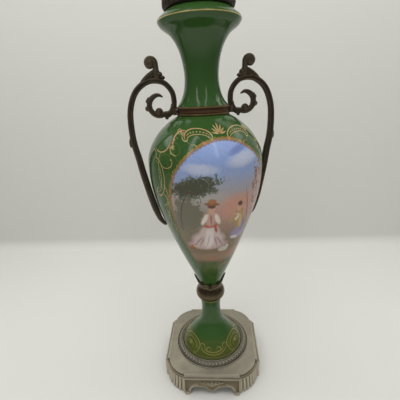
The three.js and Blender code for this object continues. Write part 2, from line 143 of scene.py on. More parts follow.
class Finish:
    """A material that is built node by node."""

    def __init__(self, name):
        self.material = bpy.data.materials.new(name)
        self.material.use_nodes = True
        self.tree = self.material.node_tree
        self.tree.nodes.clear()

    def add(self, kind, settings=None, sockets=None, output=0):
        node = self.tree.nodes.new(kind)
        for name, setting in (settings or {}).items():
            if name == "stops":
                self.set_stops(node.color_ramp, setting)
            else:
                setattr(node, name, setting)
        for name, value in (sockets or {}).items():
            if isinstance(value, Value):
                self.tree.links.new(value.socket, node.inputs[name])
            else:
                node.inputs[name].default_value = value
        return Value(self, node.outputs[output]) if len(node.outputs) else node

    def set_stops(self, ramp, stops):
        while len(ramp.elements) < len(stops):
            ramp.elements.new(1)
        for element, (place, colour) in zip(ramp.elements, stops):
            element.position = place
            element.color = colour

    def maths(self, operation, *values, clamp=False):
        settings = {"operation": operation, "use_clamp": clamp}
        return self.add("ShaderNodeMath", settings, dict(enumerate(values)))

    def edge(self, value, soft):
        """0 well below zero and 1 well above it, with a soft step between."""
        return self.maths("MULTIPLY_ADD", value, 1 / soft, 0.5, clamp=True)

    def over(self, under, mask, colour):
        """A colour laid over another where the mask is 1."""
        sockets = {0: mask, 6: under, 7: colour}
        return self.add("ShaderNodeMix", {"data_type": "RGBA"}, sockets, 2)

    def noise(self, place, scale, detail=3.0, roughness=0.5, output=0):
        sockets = {"Vector": place, "Scale": scale, "Detail": detail, "Roughness": roughness}
        return self.add("ShaderNodeTexNoise", None, sockets, output)

    def bump(self, height, strength):
        sockets = {"Strength": strength, "Distance": BUMP_DEPTH, "Height": height}
        return self.add("ShaderNodeBump", None, sockets)

    def shade(self, **sockets):
        """Ends the material in a Principled shader; the names are its sockets' with _ for a space."""
        named = {name.replace("_", " "): value for name, value in sockets.items()}
        shader = self.add("ShaderNodeBsdfPrincipled", None, named)
        self.add("ShaderNodeOutputMaterial", None, {"Surface": shader})
        print(self.material.name, "has", len(self.tree.nodes), "nodes")
        return self.material


def paint(red, green, blue):
    """A colour given in screen values from 0 to 255, as the linear colour that shaders use."""
    linear = [((v / 255 + 0.055) / 1.055) ** 2.4 if v > 10 else v / 255 / 12.92 for v in (red, green, blue)]
    return (*linear, 1)


# %% [markdown]
# A turned piece is best described by how far round it a point lies and how high. Both are worked out from
# Object coordinates. The distance round is measured from a line at a chosen angle, so a pattern can be
# centred on that line and mirrored by taking its size without its sign.


# %% Coordinates on a turned piece
class Round:
    """Where a point lies on a turned piece, from a line 'turn' degrees round from the front."""

    def __init__(self, finish, turn):
        self.finish = finish
        self.place = finish.add("ShaderNodeTexCoord", output="Object")
        x = finish.add("ShaderNodeSeparateXYZ", None, {0: self.place}, "X")
        y = x.other("Y")
        cosine, sine = math.cos(math.radians(turn)), math.sin(math.radians(turn))
        side = x * cosine + y * sine
        front = x * sine - y * cosine
        self.angle = finish.maths("ARCTAN2", side, front)
        self.radius = (side * side + front * front) ** 0.5 * (1 / MM)
        self.height = x.other("Z") * (1 / MM)

    def sheet(self, angle, height):
        """A flat place: distance round and height, in millimetres, and 1."""
        return self.finish.add("ShaderNodeCombineXYZ", None, {0: angle * self.radius, 1: height, 2: 1.0})

    def noise(self, scale, detail=3.0, roughness=0.5):
        return self.finish.noise(self.place, scale, detail, roughness)


# %% [markdown]
# Painted shapes and gilt strokes are all made from two things: a soft oval, and an arc of an oval whose line
# swells in the middle and runs out to a point at both ends, as a brush leaves it. To move, turn and shrink a
# flat place until the oval is a circle of radius 1, two dot products are enough, since the place has a third
# part that is always 1.


# %% Brush strokes
GILT_WIDTH = 0.8


def local(sheet, at, size, turn=0, middle=0):
    """A flat place as seen from an oval: its rim is at distance 1, and 'middle' is its first axis."""
    squash = Matrix.Diagonal((1 / size[0], 1 / size[1]))
    lean = Matrix.Rotation(math.radians(-turn), 2)
    view = Matrix.Rotation(math.radians(-middle), 2) @ squash @ lean
    parts = []
    for row in view:
        sockets = {0: sheet, 1: (*row, -row.dot(Vector(at)))}
        parts.append(sheet.finish.add("ShaderNodeVectorMath", {"operation": "DOT_PRODUCT"}, sockets, "Value"))
    return parts


def squared(across, up):
    """The square of a point's distance from the middle."""
    return across.finish.maths("MULTIPLY_ADD", up, up, across * across)


def oval(sheet, at, size, turn=0, soft=0.25):
    """1 inside an oval."""
    away = squared(*local(sheet, at, size, turn))
    return sheet.finish.maths("MULTIPLY_ADD", away, -0.5 / soft, 0.5 / soft + 0.5, clamp=True)


def stroke(sheet, at, size, middle, half, width=0.6):
    """A tapering line along an oval's rim, 'half' degrees to both sides of the direction 'middle'."""
    maths = sheet.finish.maths
    across, up = local(sheet, at, size, 0, middle)
    reach = maths("SQRT", squared(across, up))
    limit = math.cos(math.radians(half))
    rise = 1 / (1 - limit)
    swell = maths("MULTIPLY_ADD", across / reach, rise, -limit * rise, clamp=True) ** 0.4
    near = maths("MULTIPLY_ADD", abs(reach - 1), -0.5 * sum(size) / SOFT, 0.5)
    return maths("MULTIPLY_ADD", swell, GILT_WIDTH * width / SOFT, near, clamp=True)


def dots(sheet, at, size, middle, half, count, width=0.8):
    """A row of dots along the same kind of line."""
    finish = sheet.finish
    across, up = local(sheet, at, size, 0, middle)
    reach = finish.maths("SQRT", squared(across, up))
    angle = finish.maths("ARCTAN2", up, across)
    pitch = math.radians(2 * half) / count
    mean = 0.5 * sum(size)
    step = (finish.maths("FRACT", angle / pitch + 0.5) - 0.5) * (pitch * mean)
    away = squared(step, (reach - 1) * mean)
    inside = finish.edge(math.radians(half) - abs(angle), 0.01)
    return finish.edge(width * width - away, SOFT) * inside


def most(masks):
    """The union of masks, each joined as soon as it is made."""
    whole = None
    for mask in masks:
        whole = mask.finish.maths("MAXIMUM", whole, mask) if whole else mask
    return whole


def shell(sheet, at, size, turn, petals, spread=75, width=0.75):
    """A fan of petals from one point: several narrow ovals turned about it."""

    def petal(i):
        lean = turn - spread + 2 * spread * i / (petals - 1)
        reach = size * (1 - 0.25 * abs(lean - turn) / spread)
        way = math.radians(lean)
        middle = (at[0] + 0.6 * reach * math.cos(way), at[1] + 0.6 * reach * math.sin(way))
        return oval(sheet, middle, (0.45 * reach, width), lean, 0.5)

    return most(petal(i) for i in range(petals))


def pattern(sheet, strokes, dotted=(), shells=()):
    """The masks of strokes, rows of dots and shells, made one at a time."""
    for make, rows in ((stroke, strokes), (dots, dotted), (shell, shells)):
        for row in rows:
            yield make(sheet, *row)


# %% [markdown]
# ## Green glaze
# All three porcelain pieces share one glaze: a deep green under a clear, very smooth coat. It pools a little
# darker in places, and gilding lies on it. Where the mask of the gilding is 1 the surface turns a little
# metallic and pale yellow, with coral worked into it as on the real piece.

# %% The glaze and its gilding
GREEN = paint(54, 88, 39)
GREEN_DEEP = paint(38, 62, 30)
GOLD = paint(190, 174, 116)
GOLD_WORN = paint(150, 130, 74)
OLIVE_GOLD = paint(150, 142, 74)
CORAL = paint(206, 142, 106)


def green_glaze(here):
    pooled = here.finish.edge(here.noise(9, 2) - 0.5, 0.6)
    return here.finish.over(GREEN, pooled * 0.5, GREEN_DEEP)


def gild(here, colour, gold, coral_share=0.3, pale=GOLD):
    """Lays gold over a colour; the coral tints follow a noise along it."""
    finish = here.finish
    tint = finish.edge(here.noise(170, 1) - (1 - coral_share), 0.12)
    worn = finish.edge(here.noise(420, 2) - 0.5, 0.3)
    metal = finish.over(pale, worn * 0.5, GOLD_WORN)
    return finish.over(colour, gold, finish.over(metal, tint, CORAL))


def glazed(here, colour, gold):
    return here.finish.shade(
        Base_Color=colour,
        Roughness=here.finish.maths("MULTIPLY_ADD", gold, 0.2, 0.15),
        Metallic=gold * 0.3,
        Normal=here.finish.bump(here.noise(60, 1) + gold * 0.3, 0.12),
        IOR=1.42,
        Coat_Weight=0.08,
        Coat_Roughness=0.03,
    )


# %% [markdown]
# ### The gilding round the panel
# The scrollwork is the same on both sides of the painted panel, so it is made once on the mirrored place.
# It is mirrored again about the sides of the body, so that the back has scrolls too, with no panel. Each
# stroke is an oval's centre, its two radii, the direction of the stroke's middle and how far it runs.

# %% Gilding on the body
PANEL_TURN = 20.5
PANEL_MIDDLE = body_low + 0.528 * (body_high - body_low)
PANEL_ABOVE = 98.5
PANEL_BELOW = 112
PANEL_HALF_ANGLE = math.radians(55)
BORDER_GOLD = paint(150, 118, 52)
BORDER_LEAVES = 44
FADE_MIDDLE = 262
FADE_TALL = 90
PICTURE_END = 204
PICTURE_FADE = 34

SHOULDER_STROKES = [
    ((26, 392.5), (16.5, 9), 90, 108, 0.85),
    ((26, 389), (14, 6.5), 90, 80, 0.6),
    ((42, 392), (3.5, 3.5), -60, 100, 0.7),
    ((41, 380), (19.5, 19.5), 48, 50, 0.85),
    ((82, 396), (20.5, 20.5), 255, 48, 0.8),
    ((58, 380), (7, 7), -40, 62, 0.8),
    ((46, 398), (4, 3), 30, 100, 0.5),
    ((92, 344), (13.5, 24.5), 180, 96, 0.85),
    ((93, 345), (9, 20), 180, 80, 0.55),
    ((92, 325.5), (5.2, 5.2), -30, 120, 0.75),
    ((98, 372), (6, 5), 120, 100, 0.6),
    ((84, 304), (10, 20), 165, 70, 0.7),
    ((80, 284), (7, 16), 175, 80, 0.6),
    ((79, 352), (9, 24), 5, 75, 0.6),
    ((84, 322), (9, 15), 190, 90, 0.6),
    ((70, 330), (8, 22), 170, 60, 0.5),
    ((74, 366), (10, 8), 250, 100, 0.6),
    ((72, 300), (6, 14), 10, 80, 0.5),
    ((70, 262), (6, 18), 170, 70, 0.5),
    ((34, 380), (5, 5), 200, 110, 0.6),
]
SHOULDER_DOTS = [
    ((26, 391), (15, 7), 90, 62, 8),
    ((50, 366), (16, 26), 20, 62, 8),
    ((93, 344), (9, 14), 180, 60, 7),
]
SHOULDER_SHELLS = [
    ((0, 394.5), 11, 90, 7),
    ((47, 396), 6, 150, 4, 50, 0.5),
    ((62, 384), 6, 250, 4, 50, 0.5),
]


def body_gilding(here):
    """Gold strokes, dots and shells on both sides of the panel and again on the back."""
    near = abs(here.angle)
    folded = here.finish.maths("MINIMUM", near, math.pi - near)
    return most(pattern(here.sheet(folded, here.height), SHOULDER_STROKES, SHOULDER_DOTS, SHOULDER_SHELLS))


# %% [markdown]
# ### The painted panel
# The panel is a country scene: sky over warm evening light, trees at the left, a pink-brown bush at the
# right and brown ground that turns green at the bottom. The figures are plain ones: a lady in a hat, a
# companion in ochre and lilac with a staff, a lamb and a basket of flowers. Each is a list of soft ovals with
# a colour, laid one over another from back to front. A little noise moves the place first, so that edges
# look brushed.

# %% Colours by height, from the bottom of the panel to its top
PANEL_BANDS = [
    (0.00, (48, 78, 34)),
    (0.08, (58, 80, 36)),
    (0.13, (76, 86, 44)),
    (0.18, (90, 80, 52)),
    (0.23, (116, 100, 70)),
    (0.32, (128, 108, 82)),
    (0.42, (132, 112, 94)),
    (0.52, (166, 132, 116)),
    (0.64, (182, 150, 138)),
    (0.73, (160, 158, 166)),
    (0.81, (146, 162, 200)),
    (0.91, (138, 160, 208)),
    (1.00, (150, 170, 216)),
]

# Each row: colour, centre, radii and turn of an oval, in millimetres on the panel
BACKDROP = [
    ((186, 194, 216), (26, 366), (22, 8), 8),
    ((182, 190, 214), (-30, 358), (20, 6), -6),
    ((120, 136, 186), (18, 377), (12, 4), 20),
    ((168, 166, 160), (-34, 316), (34, 12), 8),
    ((142, 136, 122), (-44, 296), (24, 20), 0),
    ((126, 114, 92), (-50, 272), (20, 18), 0),
    ((196, 146, 128), (18, 306), (26, 17), 0),
    ((142, 116, 88), (0, 226), (58, 9), 0),
    ((150, 110, 86), (26, 232), (24, 5), 5),
]
FIGURES = [
    # companion at the right: staff, lilac cloak, ochre coat, shirt, shoulders, reaching arm and head
    ((112, 78, 52), (35, 300), (0.7, 28), 10),
    ((150, 134, 168), (26, 263), (14, 9), -14),
    ((126, 110, 150), (31, 273), (5, 13), 14),
    ((206, 198, 206), (19, 257), (6.5, 3), -20),
    ((170, 138, 82), (22, 288), (7, 15), 4),
    ((196, 166, 104), (25, 283), (3.2, 12), 8),
    ((216, 208, 196), (18.5, 293), (2.8, 8), -6),
    ((170, 138, 82), (21.5, 299), (7, 3.4), -4),
    ((182, 148, 92), (13, 290), (2.1, 8.5), -52),
    ((204, 158, 134), (20, 305), (3.6, 6.4), 0),
    ((84, 56, 42), (21, 310), (4.2, 3.4), -16),
    # lady at the left: hem, skirt with folds, apron, sash, bodice, sleeves, head and hat
    ((190, 164, 162), (-18, 250), (26, 8), 0),
    ((204, 182, 178), (-18, 260), (21, 14), 0),
    ((204, 182, 178), (-17, 271), (13, 13), 0),
    ((166, 140, 144), (-31, 256), (1.4, 10), -30),
    ((166, 140, 144), (-25, 259), (1.2, 13), -15),
    ((166, 140, 144), (-9, 259), (1.2, 13), 17),
    ((166, 140, 144), (-3, 256), (1.4, 10), 32),
    ((222, 210, 206), (-17, 262), (6.4, 17), 0),
    ((188, 170, 170), (-18, 258), (0.9, 11), -4),
    ((186, 96, 72), (-17, 283), (8.4, 3.2), 3),
    ((160, 84, 66), (-10, 277), (1.6, 6), 20),
    ((190, 156, 146), (-17, 293), (6.4, 10), 0),
    ((190, 156, 146), (-17, 299.5), (8.6, 3.6), 0),
    ((168, 106, 90), (-17, 293), (1.2, 8), 6),
    ((224, 212, 200), (-25, 293), (2.8, 8.4), -20),
    ((224, 212, 200), (-9, 293), (2.8, 8.4), 20),
    ((206, 160, 136), (-17, 307.5), (3.8, 7), 0),
    ((98, 62, 44), (-17, 312.5), (4.8, 3.6), 0),
    ((142, 92, 60), (-17, 314.8), (9.4, 2.2), -5),
    ((164, 108, 70), (-16.5, 318), (5, 3.4), -3),
    # a lamb in front, and a basket of flowers at the left
    ((196, 188, 174), (4, 240), (7, 4.4), 4),
    ((206, 198, 186), (9.5, 244.5), (2.4, 3), 0),
    ((132, 92, 58), (-38, 243), (5, 3.4), 0),
    ((186, 96, 84), (-39, 247), (3.4, 2.2), 10),
    ((214, 184, 120), (-35, 247), (1.8, 1.6), 0),
]
FLOWERS = [
    ((170, 92, 70), (10, 207), (5, 2.2), 10),
    ((172, 106, 80), (-10, 222), (9, 1.4), 10),
    ((164, 98, 72), (2, 216), (8, 1.2), -4),
    ((160, 98, 74), (20, 222), (7, 1.3), -8),
    ((184, 104, 78), (4, 200), (3.4, 1.8), 20),
    ((128, 124, 70), (-2, 202), (5, 2), 10),
    ((104, 112, 60), (-8, 206), (9, 3), 8),
    ((84, 98, 48), (-12, 214), (7, 2.2), -20),
]
TRUNKS = [
    ((-30, 296), (26, 44), 165, 46, 1.3),
    ((-52, 316), (22, 22), 60, 60, 0.8),
    ((-44, 352), (26, 22), 255, 50, 0.7),
]
# Each row: centre, radii and turn of a region of leaves, then the scale, amount and colour of its dabs
FOLIAGE = [
    ((-48, 298), (20, 26), 0, ((90, 0.72, (112, 108, 90)),)),
    ((56, 314), (13, 42), 4, ((110, 0.7, (134, 108, 94)), (170, 0.84, (186, 150, 148)))),
    ((-40, 336), (34, 13), 10, ((170, 0.73, (96, 104, 86)), (260, 0.8, (66, 70, 54)))),
    ((0, 194), (36, 22), 0, ((150, 0.74, (72, 88, 44)), (240, 0.8, (104, 110, 58)))),
]
STIR = 3.0


# %% The painted scene
def lay(sheet, colour, rows, soft):
    for tint, at, size, turn in rows:
        colour = sheet.finish.over(colour, oval(sheet, at, size, turn, soft), paint(*tint))
    return colour


def painted_scene(here):
    finish = here.finish
    sheet = here.sheet(here.angle, here.height)
    stir = finish.noise(here.place, 110, 2, output="Color")
    shift = {0: stir, 1: (STIR, STIR, 0), 2: sheet}
    stirred = finish.add("ShaderNodeVectorMath", {"operation": "MULTIPLY_ADD"}, shift)
    back = {0: stirred, 1: (STIR / 2, STIR / 2, 0)}
    brushed = finish.add("ShaderNodeVectorMath", {"operation": "SUBTRACT"}, back)
    wander = (here.noise(26, 3) - 0.5) * 14
    share = (here.height + wander - (PANEL_MIDDLE - PANEL_BELOW)) / (PANEL_ABOVE + PANEL_BELOW)
    stops = [(place, paint(*tint)) for place, tint in PANEL_BANDS]
    colour = lay(brushed, finish.add("ShaderNodeValToRGB", {"stops": stops}, {0: share}), BACKDROP, 0.7)
    for at, size, turn, dabs in FOLIAGE:
        region = oval(brushed, at, size, turn, 0.9)
        for scale, amount, tint in dabs:
            cut = finish.edge(here.noise(scale, 4, 0.65) + region * 0.42 - amount, 0.07)
            colour = finish.over(colour, cut * finish.edge(region - 0.05, 0.1), paint(*tint))
    colour = finish.over(colour, most(pattern(brushed, TRUNKS)) * 0.85, paint(78, 60, 48))
    colour = lay(brushed, colour, FIGURES, 0.4)
    colour = lay(brushed, colour, FLOWERS, 0.6)
    dabs = finish.edge(here.noise(330, 2, 0.7) - 0.5, 0.4)
    return finish.over(colour, dabs * 0.12, paint(90, 72, 60))


# %% [markdown]
# ### The panel's edge
# The panel's outline is a rounded oval in angle and height. A function that is 0 on the outline, divided by
# how steeply it grows, is close to a distance in millimetres, and a border of even width can be cut from it.
# The border is a row of small gilt leaves with coral between them, so the distance is scalloped along it.
# Lower down the border fades, and at its end the picture runs into the glaze.


# %% The finish of the body
def panel_distance(here):
    """Millimetres outside the panel's outline (below zero inside it), and the angle along the outline."""
    finish = here.finish
    rise = here.height - PANEL_MIDDLE
    tall = finish.maths("MAXIMUM", rise / PANEL_ABOVE, rise / -PANEL_BELOW)
    wide = abs(here.angle) / PANEL_HALF_ANGLE
    level = wide * wide + tall**2.5 - 1
    steep_round = wide * 2 / (here.radius * PANEL_HALF_ANGLE)
    steep_up = tall**1.5 * (2.5 / PANEL_ABOVE)
    steep = (steep_round * steep_round + steep_up * steep_up) ** 0.5
    along = finish.maths("ARCTAN2", rise / PANEL_ABOVE, here.angle / PANEL_HALF_ANGLE)
    return level / steep, along


def body_finish():
    finish = Finish("green_porcelain_painted")
    here = Round(finish, PANEL_TURN)
    distance, along = panel_distance(here)
    leaf = abs(finish.maths("SINE", along * BORDER_LEAVES))
    ragged = (here.noise(260, 2) - 0.5) * 3
    fading = finish.edge(here.height - FADE_MIDDLE, FADE_TALL)
    border = finish.edge(1.1 + leaf * 0.9 - abs(distance + ragged - 1.0), 0.6) * (0.1 + fading * 0.9)
    inner_line = finish.edge(0.75 - abs(distance + leaf * 1.2 + 0.4), 0.5)
    gold = body_gilding(here)
    colour = gild(here, green_glaze(here), gold, 0.42)
    picture = finish.edge(0 - distance, 1.6) * finish.edge(here.height - PICTURE_END, PICTURE_FADE)
    colour = finish.over(colour, picture, painted_scene(here))
    broken = finish.edge(here.noise(300, 1) - 0.42, 0.12)
    colour = gild(here, colour, border * (0.3 + broken * 0.6), 0.35, BORDER_GOLD)
    colour = finish.over(colour, inner_line * (0.1 + fading * 0.6), paint(128, 78, 50))
    return glazed(here, colour, finish.maths("MAXIMUM", gold, border * 0.5))


BODY_FINISH = body_finish()

# %% [markdown]
# ### Foot and neck
# The foot has six cartouches round its bell, every other one turned over, with a gold line at its rim and
# one at its top. On the sloping bell the height and the radius both change, so the distance up the slope is
# taken from their difference. The neck has a gold line on its lip and a small curl on two sides.

# %% The finishes of the foot and the neck
CARTOUCHE_TURN = 5
RIM_LINE = 8
OLIVE_RISE = 22
NECK_TURN = -66
LIP_SHARE = 0.899
BOWL_STROKES = [
    ((0, 11), (21, 10), -90, 84, 0.85),
    ((0, 12), (15, 7), -90, 66, 0.6),
    ((18, 12), (3.6, 3.6), 120, 110, 0.6),
    ((8, 9), (3.5, 3), 60, 110, 0.6),
]
ARCH_STROKES = [
    ((0, 6), (20, 14), 90, 112, 0.85),
    ((0, 5), (14, 9.5), 90, 100, 0.6),
    ((0, 4), (8.5, 6), 90, 100, 0.6),
    ((16, 1.5), (3, 3), -60, 100, 0.6),
]
BOWL_DOTS = [((0, 12.5), (17.5, 8.5), -90, 60, 9)]
ARCH_DOTS = [((0, 5), (17, 11.5), 90, 90, 13)]
ARCH_SHELLS = [((0, 5), 6, 90, 5, 60, 0.6)]


def foot_finish():
    finish = Finish("green_porcelain_foot")
    here = Round(finish, CARTOUCHE_TURN)
    third = 2 * math.pi / 3
    slope = (here.height - here.radius) * math.sqrt(0.5)
    bowl_angle = abs((finish.maths("FRACT", here.angle / third + 0.5) - 0.5) * third)
    rim_line = finish.edge(0.3 - abs(here.height - foot_low - RIM_LINE), SOFT) * 0.5
    top_line = finish.edge(here.height - foot_high + 1.6, SOFT)
    bowl = pattern(here.sheet(bowl_angle, slope), BOWL_STROKES, BOWL_DOTS)
    arch = pattern(here.sheet(abs(third / 2 - bowl_angle), slope), ARCH_STROKES, ARCH_DOTS, ARCH_SHELLS)
    gold = most(mask for masks in ((rim_line, top_line), bowl, arch) for mask in masks)
    olive = finish.edge(foot_low + OLIVE_RISE - here.height, 20)
    colour = finish.over(green_glaze(here), olive * 0.75, paint(80, 82, 34))
    return glazed(here, gild(here, colour, gold, 0.08, OLIVE_GOLD), gold)


def neck_finish():
    finish = Finish("green_porcelain_neck")
    here = Round(finish, NECK_TURN)
    line = finish.edge(0.6 - abs(here.height - (neck_low + LIP_SHARE * (neck_high - neck_low))), 0.5)
    folded = (finish.maths("FRACT", here.angle / math.pi + 0.5) - 0.5) * math.pi
    sheet = here.sheet(folded, here.height)
    curl = stroke(sheet, (0, 467), (3, 3), -60, 120, 0.5) * 0.6
    tip = stroke(sheet, (2.4, 471), (2.6, 3), 60, 90, 0.4) * 0.5
    gold = most((line, curl, tip))
    return glazed(here, gild(here, green_glaze(here), gold, 0.15), gold)


FOOT_FINISH = foot_finish()
NECK_FINISH = neck_finish()

# %% [markdown]
# ## Metals
# The mounts are cast brass that has gone dark brown, with a grainy skin and rubbed high places, which are
# also made paler as a painted highlight. The base is the same metal cleaned back to a dull grey, brown where
# dirt stays in its grooves; the dark colour in all the hollows is also painted shade. Pointiness is high on
# edges and low in hollows, so it tells rubbed places and painted highlight from dirt and painted shade.


# %% The metal finishes
def metal_finish(name, rubbed_and_highlight, plain, dirt_and_shade, grain, rough, warm=None, warm_share=0.5, side=None, side_top=0):
    finish = Finish(name)
    place = finish.add("ShaderNodeTexCoord", output="Object")
    blotch = finish.noise(place, 45, 4, 0.6)
    fine = finish.noise(place, 900, 3, 0.6)
    point = finish.add("ShaderNodeNewGeometry", output="Pointiness")
    colour = finish.over(paint(*plain), finish.edge(blotch - 0.52, 0.25) * 0.6, paint(*dirt_and_shade))
    if warm:
        patch = finish.edge(finish.noise(place, 28, 2) - warm_share, 0.2)
        colour = finish.over(colour, patch * 0.7, paint(*warm))
    if side:
        height = finish.add("ShaderNodeSeparateXYZ", None, {0: place}, "Z") * (1 / MM)
        colour = finish.over(colour, finish.edge(side_top - height, 3) * 0.7, paint(*side))
    # high marks rubbed edges and is also a painted highlight; low marks dirt in hollows and is also painted
    # shade
    high = finish.edge(point + (blotch - 0.5) * 0.06 - 0.525, 0.04)
    low = finish.edge(0.47 - point, 0.05)
    colour = finish.over(colour, high * 0.75, paint(*rubbed_and_highlight))
    colour = finish.over(colour, low * 0.85, paint(*dirt_and_shade))
    return finish.shade(
        Base_Color=colour,
        Metallic=0.85 - low * 0.5,
        Roughness=rough + (fine - 0.5) * 0.25 + low * 0.25,
        Normal=finish.bump(fine * 0.5 + blotch, grain),
    )


# Each finish's edge colour is rubbed wear and also a painted highlight; its hollow colour is dirt and also
# painted shade
DARK_FINISH = metal_finish(
    "dark_patina",
    rubbed_and_highlight=(112, 100, 84), plain=(58, 53, 46), dirt_and_shade=(29, 27, 23),
    grain=0.55, rough=0.46, warm=(68, 50, 39), warm_share=0.56,
)
BAND_FINISH = metal_finish(
    "red_brown_patina", rubbed_and_highlight=(150, 124, 84), plain=(100, 74, 54), dirt_and_shade=(62, 46, 34), grain=0.35, rough=0.4
)
KNOP_FINISH = metal_finish(
    "polished_brown", rubbed_and_highlight=(150, 136, 108), plain=(92, 78, 60), dirt_and_shade=(40, 34, 26), grain=0.12, rough=0.26
)
BASE_FINISH = metal_finish(
    "grey_brass",
    rubbed_and_highlight=(206, 198, 180), plain=(144, 138, 127), dirt_and_shade=(62, 54, 38),
    grain=0.25, rough=0.42, warm=(132, 124, 106), warm_share=0.55, side=(126, 112, 84), side_top=33,
)

# %% [markdown]
# ## Making meshes
# Each piece starts as a bmesh: an outline that is spun round the axis, or a shape that is extruded and
# bevelled. One function ends every piece: it merges doubles, turns the faces outwards, makes millimetres
# into metres and hands the piece to the frame in place of its node.


# %% Helpers for outlines, turning and finishing a piece
def eased(points, per_span=6):
    """A smooth line through points: a Bezier stretch between each two, with the tangents evened out."""
    flat = [Vector((r, 0, z)) for r, z in points]
    before = [2 * flat[0] - flat[1], *flat, 2 * flat[-1] - flat[-2]]
    line = []
    for i in range(1, len(before) - 2):
        a, b, c, d = before[i - 1 : i + 3]
        step = [max((q - p).length ** 0.5, 1e-6) for p, q in ((a, b), (b, c), (c, d))]
        start = (b - a) / step[0] - (c - a) / (step[0] + step[1]) + (c - b) / step[1]
        end = (c - b) / step[1] - (d - b) / (step[1] + step[2]) + (d - c) / step[2]
        third = step[1] / 3
        line += interpolate_bezier(b, b + start * third, c - end * third, c, per_span + 1)[:-1]
    line.append(flat[-1])
    return [(p.x, p.z) for p in line]


def inner(line, wall):
    """The same line moved inwards by a wall's thickness."""
    moved = []
    for i, point in enumerate(line):
        a, b = Vector(line[max(i - 1, 0)]), Vector(line[min(i + 1, len(line) - 1)])
        way = (b - a).normalized()
        moved.append((max(point[0] - way.y * wall, 0), point[1] + way.x * wall))
    return moved


def levels(low, tall, rows):
    """Rows of (radius, share of the height) as points of an outline."""
    return [(radius, low + share * tall) for radius, share in rows]


def around(centre, radius, angle):
    """A point on a circle in a plane."""
    return centre[0] + radius * math.cos(angle), centre[1] + radius * math.sin(angle)


def edges_of(verts):
    return list({edge for vert in verts for edge in vert.link_edges})


def faces_of(verts):
    return list({face for vert in verts for face in vert.link_faces})


def points_in(geom):
    return [g for g in geom if isinstance(g, bmesh.types.BMVert)]


def turn_verts(bm, degrees, verts):
    """Turns points about the urn's axis."""
    bmesh.ops.rotate(bm, cent=(0, 0, 0), matrix=Matrix.Rotation(math.radians(degrees), 3, "Z"), verts=verts)


def round_edges(bm, edges, offset, segments, clamp=False):
    made = bmesh.ops.bevel(
        bm, geom=edges, offset=offset, offset_type="OFFSET", affect="EDGES",
        segments=segments, profile=0.5, material=-1, clamp_overlap=clamp,
    )
    return made["verts"]


def spin_profile(bm, profile, steps=128, closed=True):
    """Turns an outline of (radius, height) about Z."""
    verts = [bm.verts.new((r, 0, z)) for r, z in profile]
    pairs = list(zip(verts, verts[1:] + verts[:1]))
    geom = verts + [bm.edges.new(pair) for pair in (pairs if closed else pairs[:-1])]
    whole = 2 * math.pi
    bmesh.ops.spin(bm, geom=geom, cent=(0, 0, 0), axis=(0, 0, 1), angle=whole, steps=steps, use_merge=True)


def hand_over(bm, name, node, finish, sharp=35):
    """Makes the bmesh an object that stands for a node."""
    bmesh.ops.remove_doubles(bm, verts=bm.verts, dist=0.001)
    bmesh.ops.dissolve_degenerate(bm, edges=bm.edges, dist=0.0005)
    bmesh.ops.recalc_face_normals(bm, faces=bm.faces)
    bmesh.ops.scale(bm, vec=(MM, MM, MM), verts=bm.verts)
    mesh = bpy.data.meshes.new(name)
    bm.to_mesh(mesh)
    bm.free()
    mesh.materials.append(finish)
    mesh.shade_smooth()
    mesh.set_sharp_from_angle(angle=math.radians(sharp))
    piece = bpy.data.objects.new(name, mesh)
    bpy.context.scene.collection.objects.link(piece)
    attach(piece, "root")
    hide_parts(node)
    mesh.calc_loop_triangles()
    print(name, len(mesh.loop_triangles), "triangles")


# %% [markdown]
# ## Body
# The body is thrown and cast porcelain about 4 mm thick, widest near its shoulder. Its outline goes up the
# outside and comes down the inside, so that one spin makes a real wall. The shares are of its own height and
# radius.

# %% Body
WALL = 4
BODY_SHAPE = [
    (0.071, 0.291),
    (0.202, 0.485),
    (0.393, 0.737),
    (0.584, 0.939),
    (0.718, 1),
    (0.821, 0.977),
    (0.912, 0.81),
    (0.973, 0.588),
]
BODY_SEAT = 15
BODY_MOUTH = 34
body_tall = body_high - body_low
body_shape = [(out * body_radius, up) for up, out in BODY_SHAPE]
body_line = eased(levels(body_low, body_tall, [(BODY_SEAT, 0), *body_shape, (BODY_MOUTH, 1)]))
body_floor = body_low + 2 * WALL
body_inside = [p for p in inner(body_line, WALL)[::-1] if body_floor < p[1] < body_high - 1]
bm = bmesh.new()
outline = [(0, body_low), *body_line, (BODY_MOUTH - WALL, body_high), *body_inside, (0, body_floor)]
spin_profile(bm, outline, 160, closed=False)
hand_over(bm, "porcelain_body", "body", BODY_FINISH, 60)

# %% [markdown]
# ## Foot and neck
# The foot is a bell with a short upright rim. It is closed at its top, under the metal ball. The neck is
# narrow in the middle and flares to a wide lip, with a flat seat inside it for the metal ring.

# %% Foot and neck
foot_tall = foot_high - foot_low
FOOT_RIM = 5.4
FOOT_STEM = 15.4
FOOT_TOP = 17.2
FOOT_SHAPE = [(0.096, 0.97), (0.141, 0.91), (0.207, 0.8), (0.296, 0.66), (0.385, 0.53), (0.473, 0.42)]
FOOT_STEM_SHAPE = [(1.136, 0.573), (1, 0.74), (1.01, 0.87)]
foot_shape = [(out * foot_radius, up) for up, out in FOOT_SHAPE]
foot_shape += [(out * FOOT_STEM, up) for out, up in FOOT_STEM_SHAPE]
foot_line = [(foot_radius, foot_low + FOOT_RIM), *levels(foot_low, foot_tall, [*foot_shape, (FOOT_TOP, 1)])]
foot_line = eased(foot_line)
foot_inside = [p for p in inner(foot_line, WALL)[::-1] if p[1] < foot_low + 0.7 * foot_tall]
bm = bmesh.new()
rim = [(foot_radius - WALL, foot_low), (foot_radius - 0.6, foot_low), (foot_radius, foot_low + 0.8)]
outline = [*rim, *foot_line, (0, foot_high), (0, foot_inside[0][1] + WALL), *foot_inside, rim[0]]
spin_profile(bm, outline, 160, closed=False)
hand_over(bm, "porcelain_foot", "foot", FOOT_FINISH, 50)

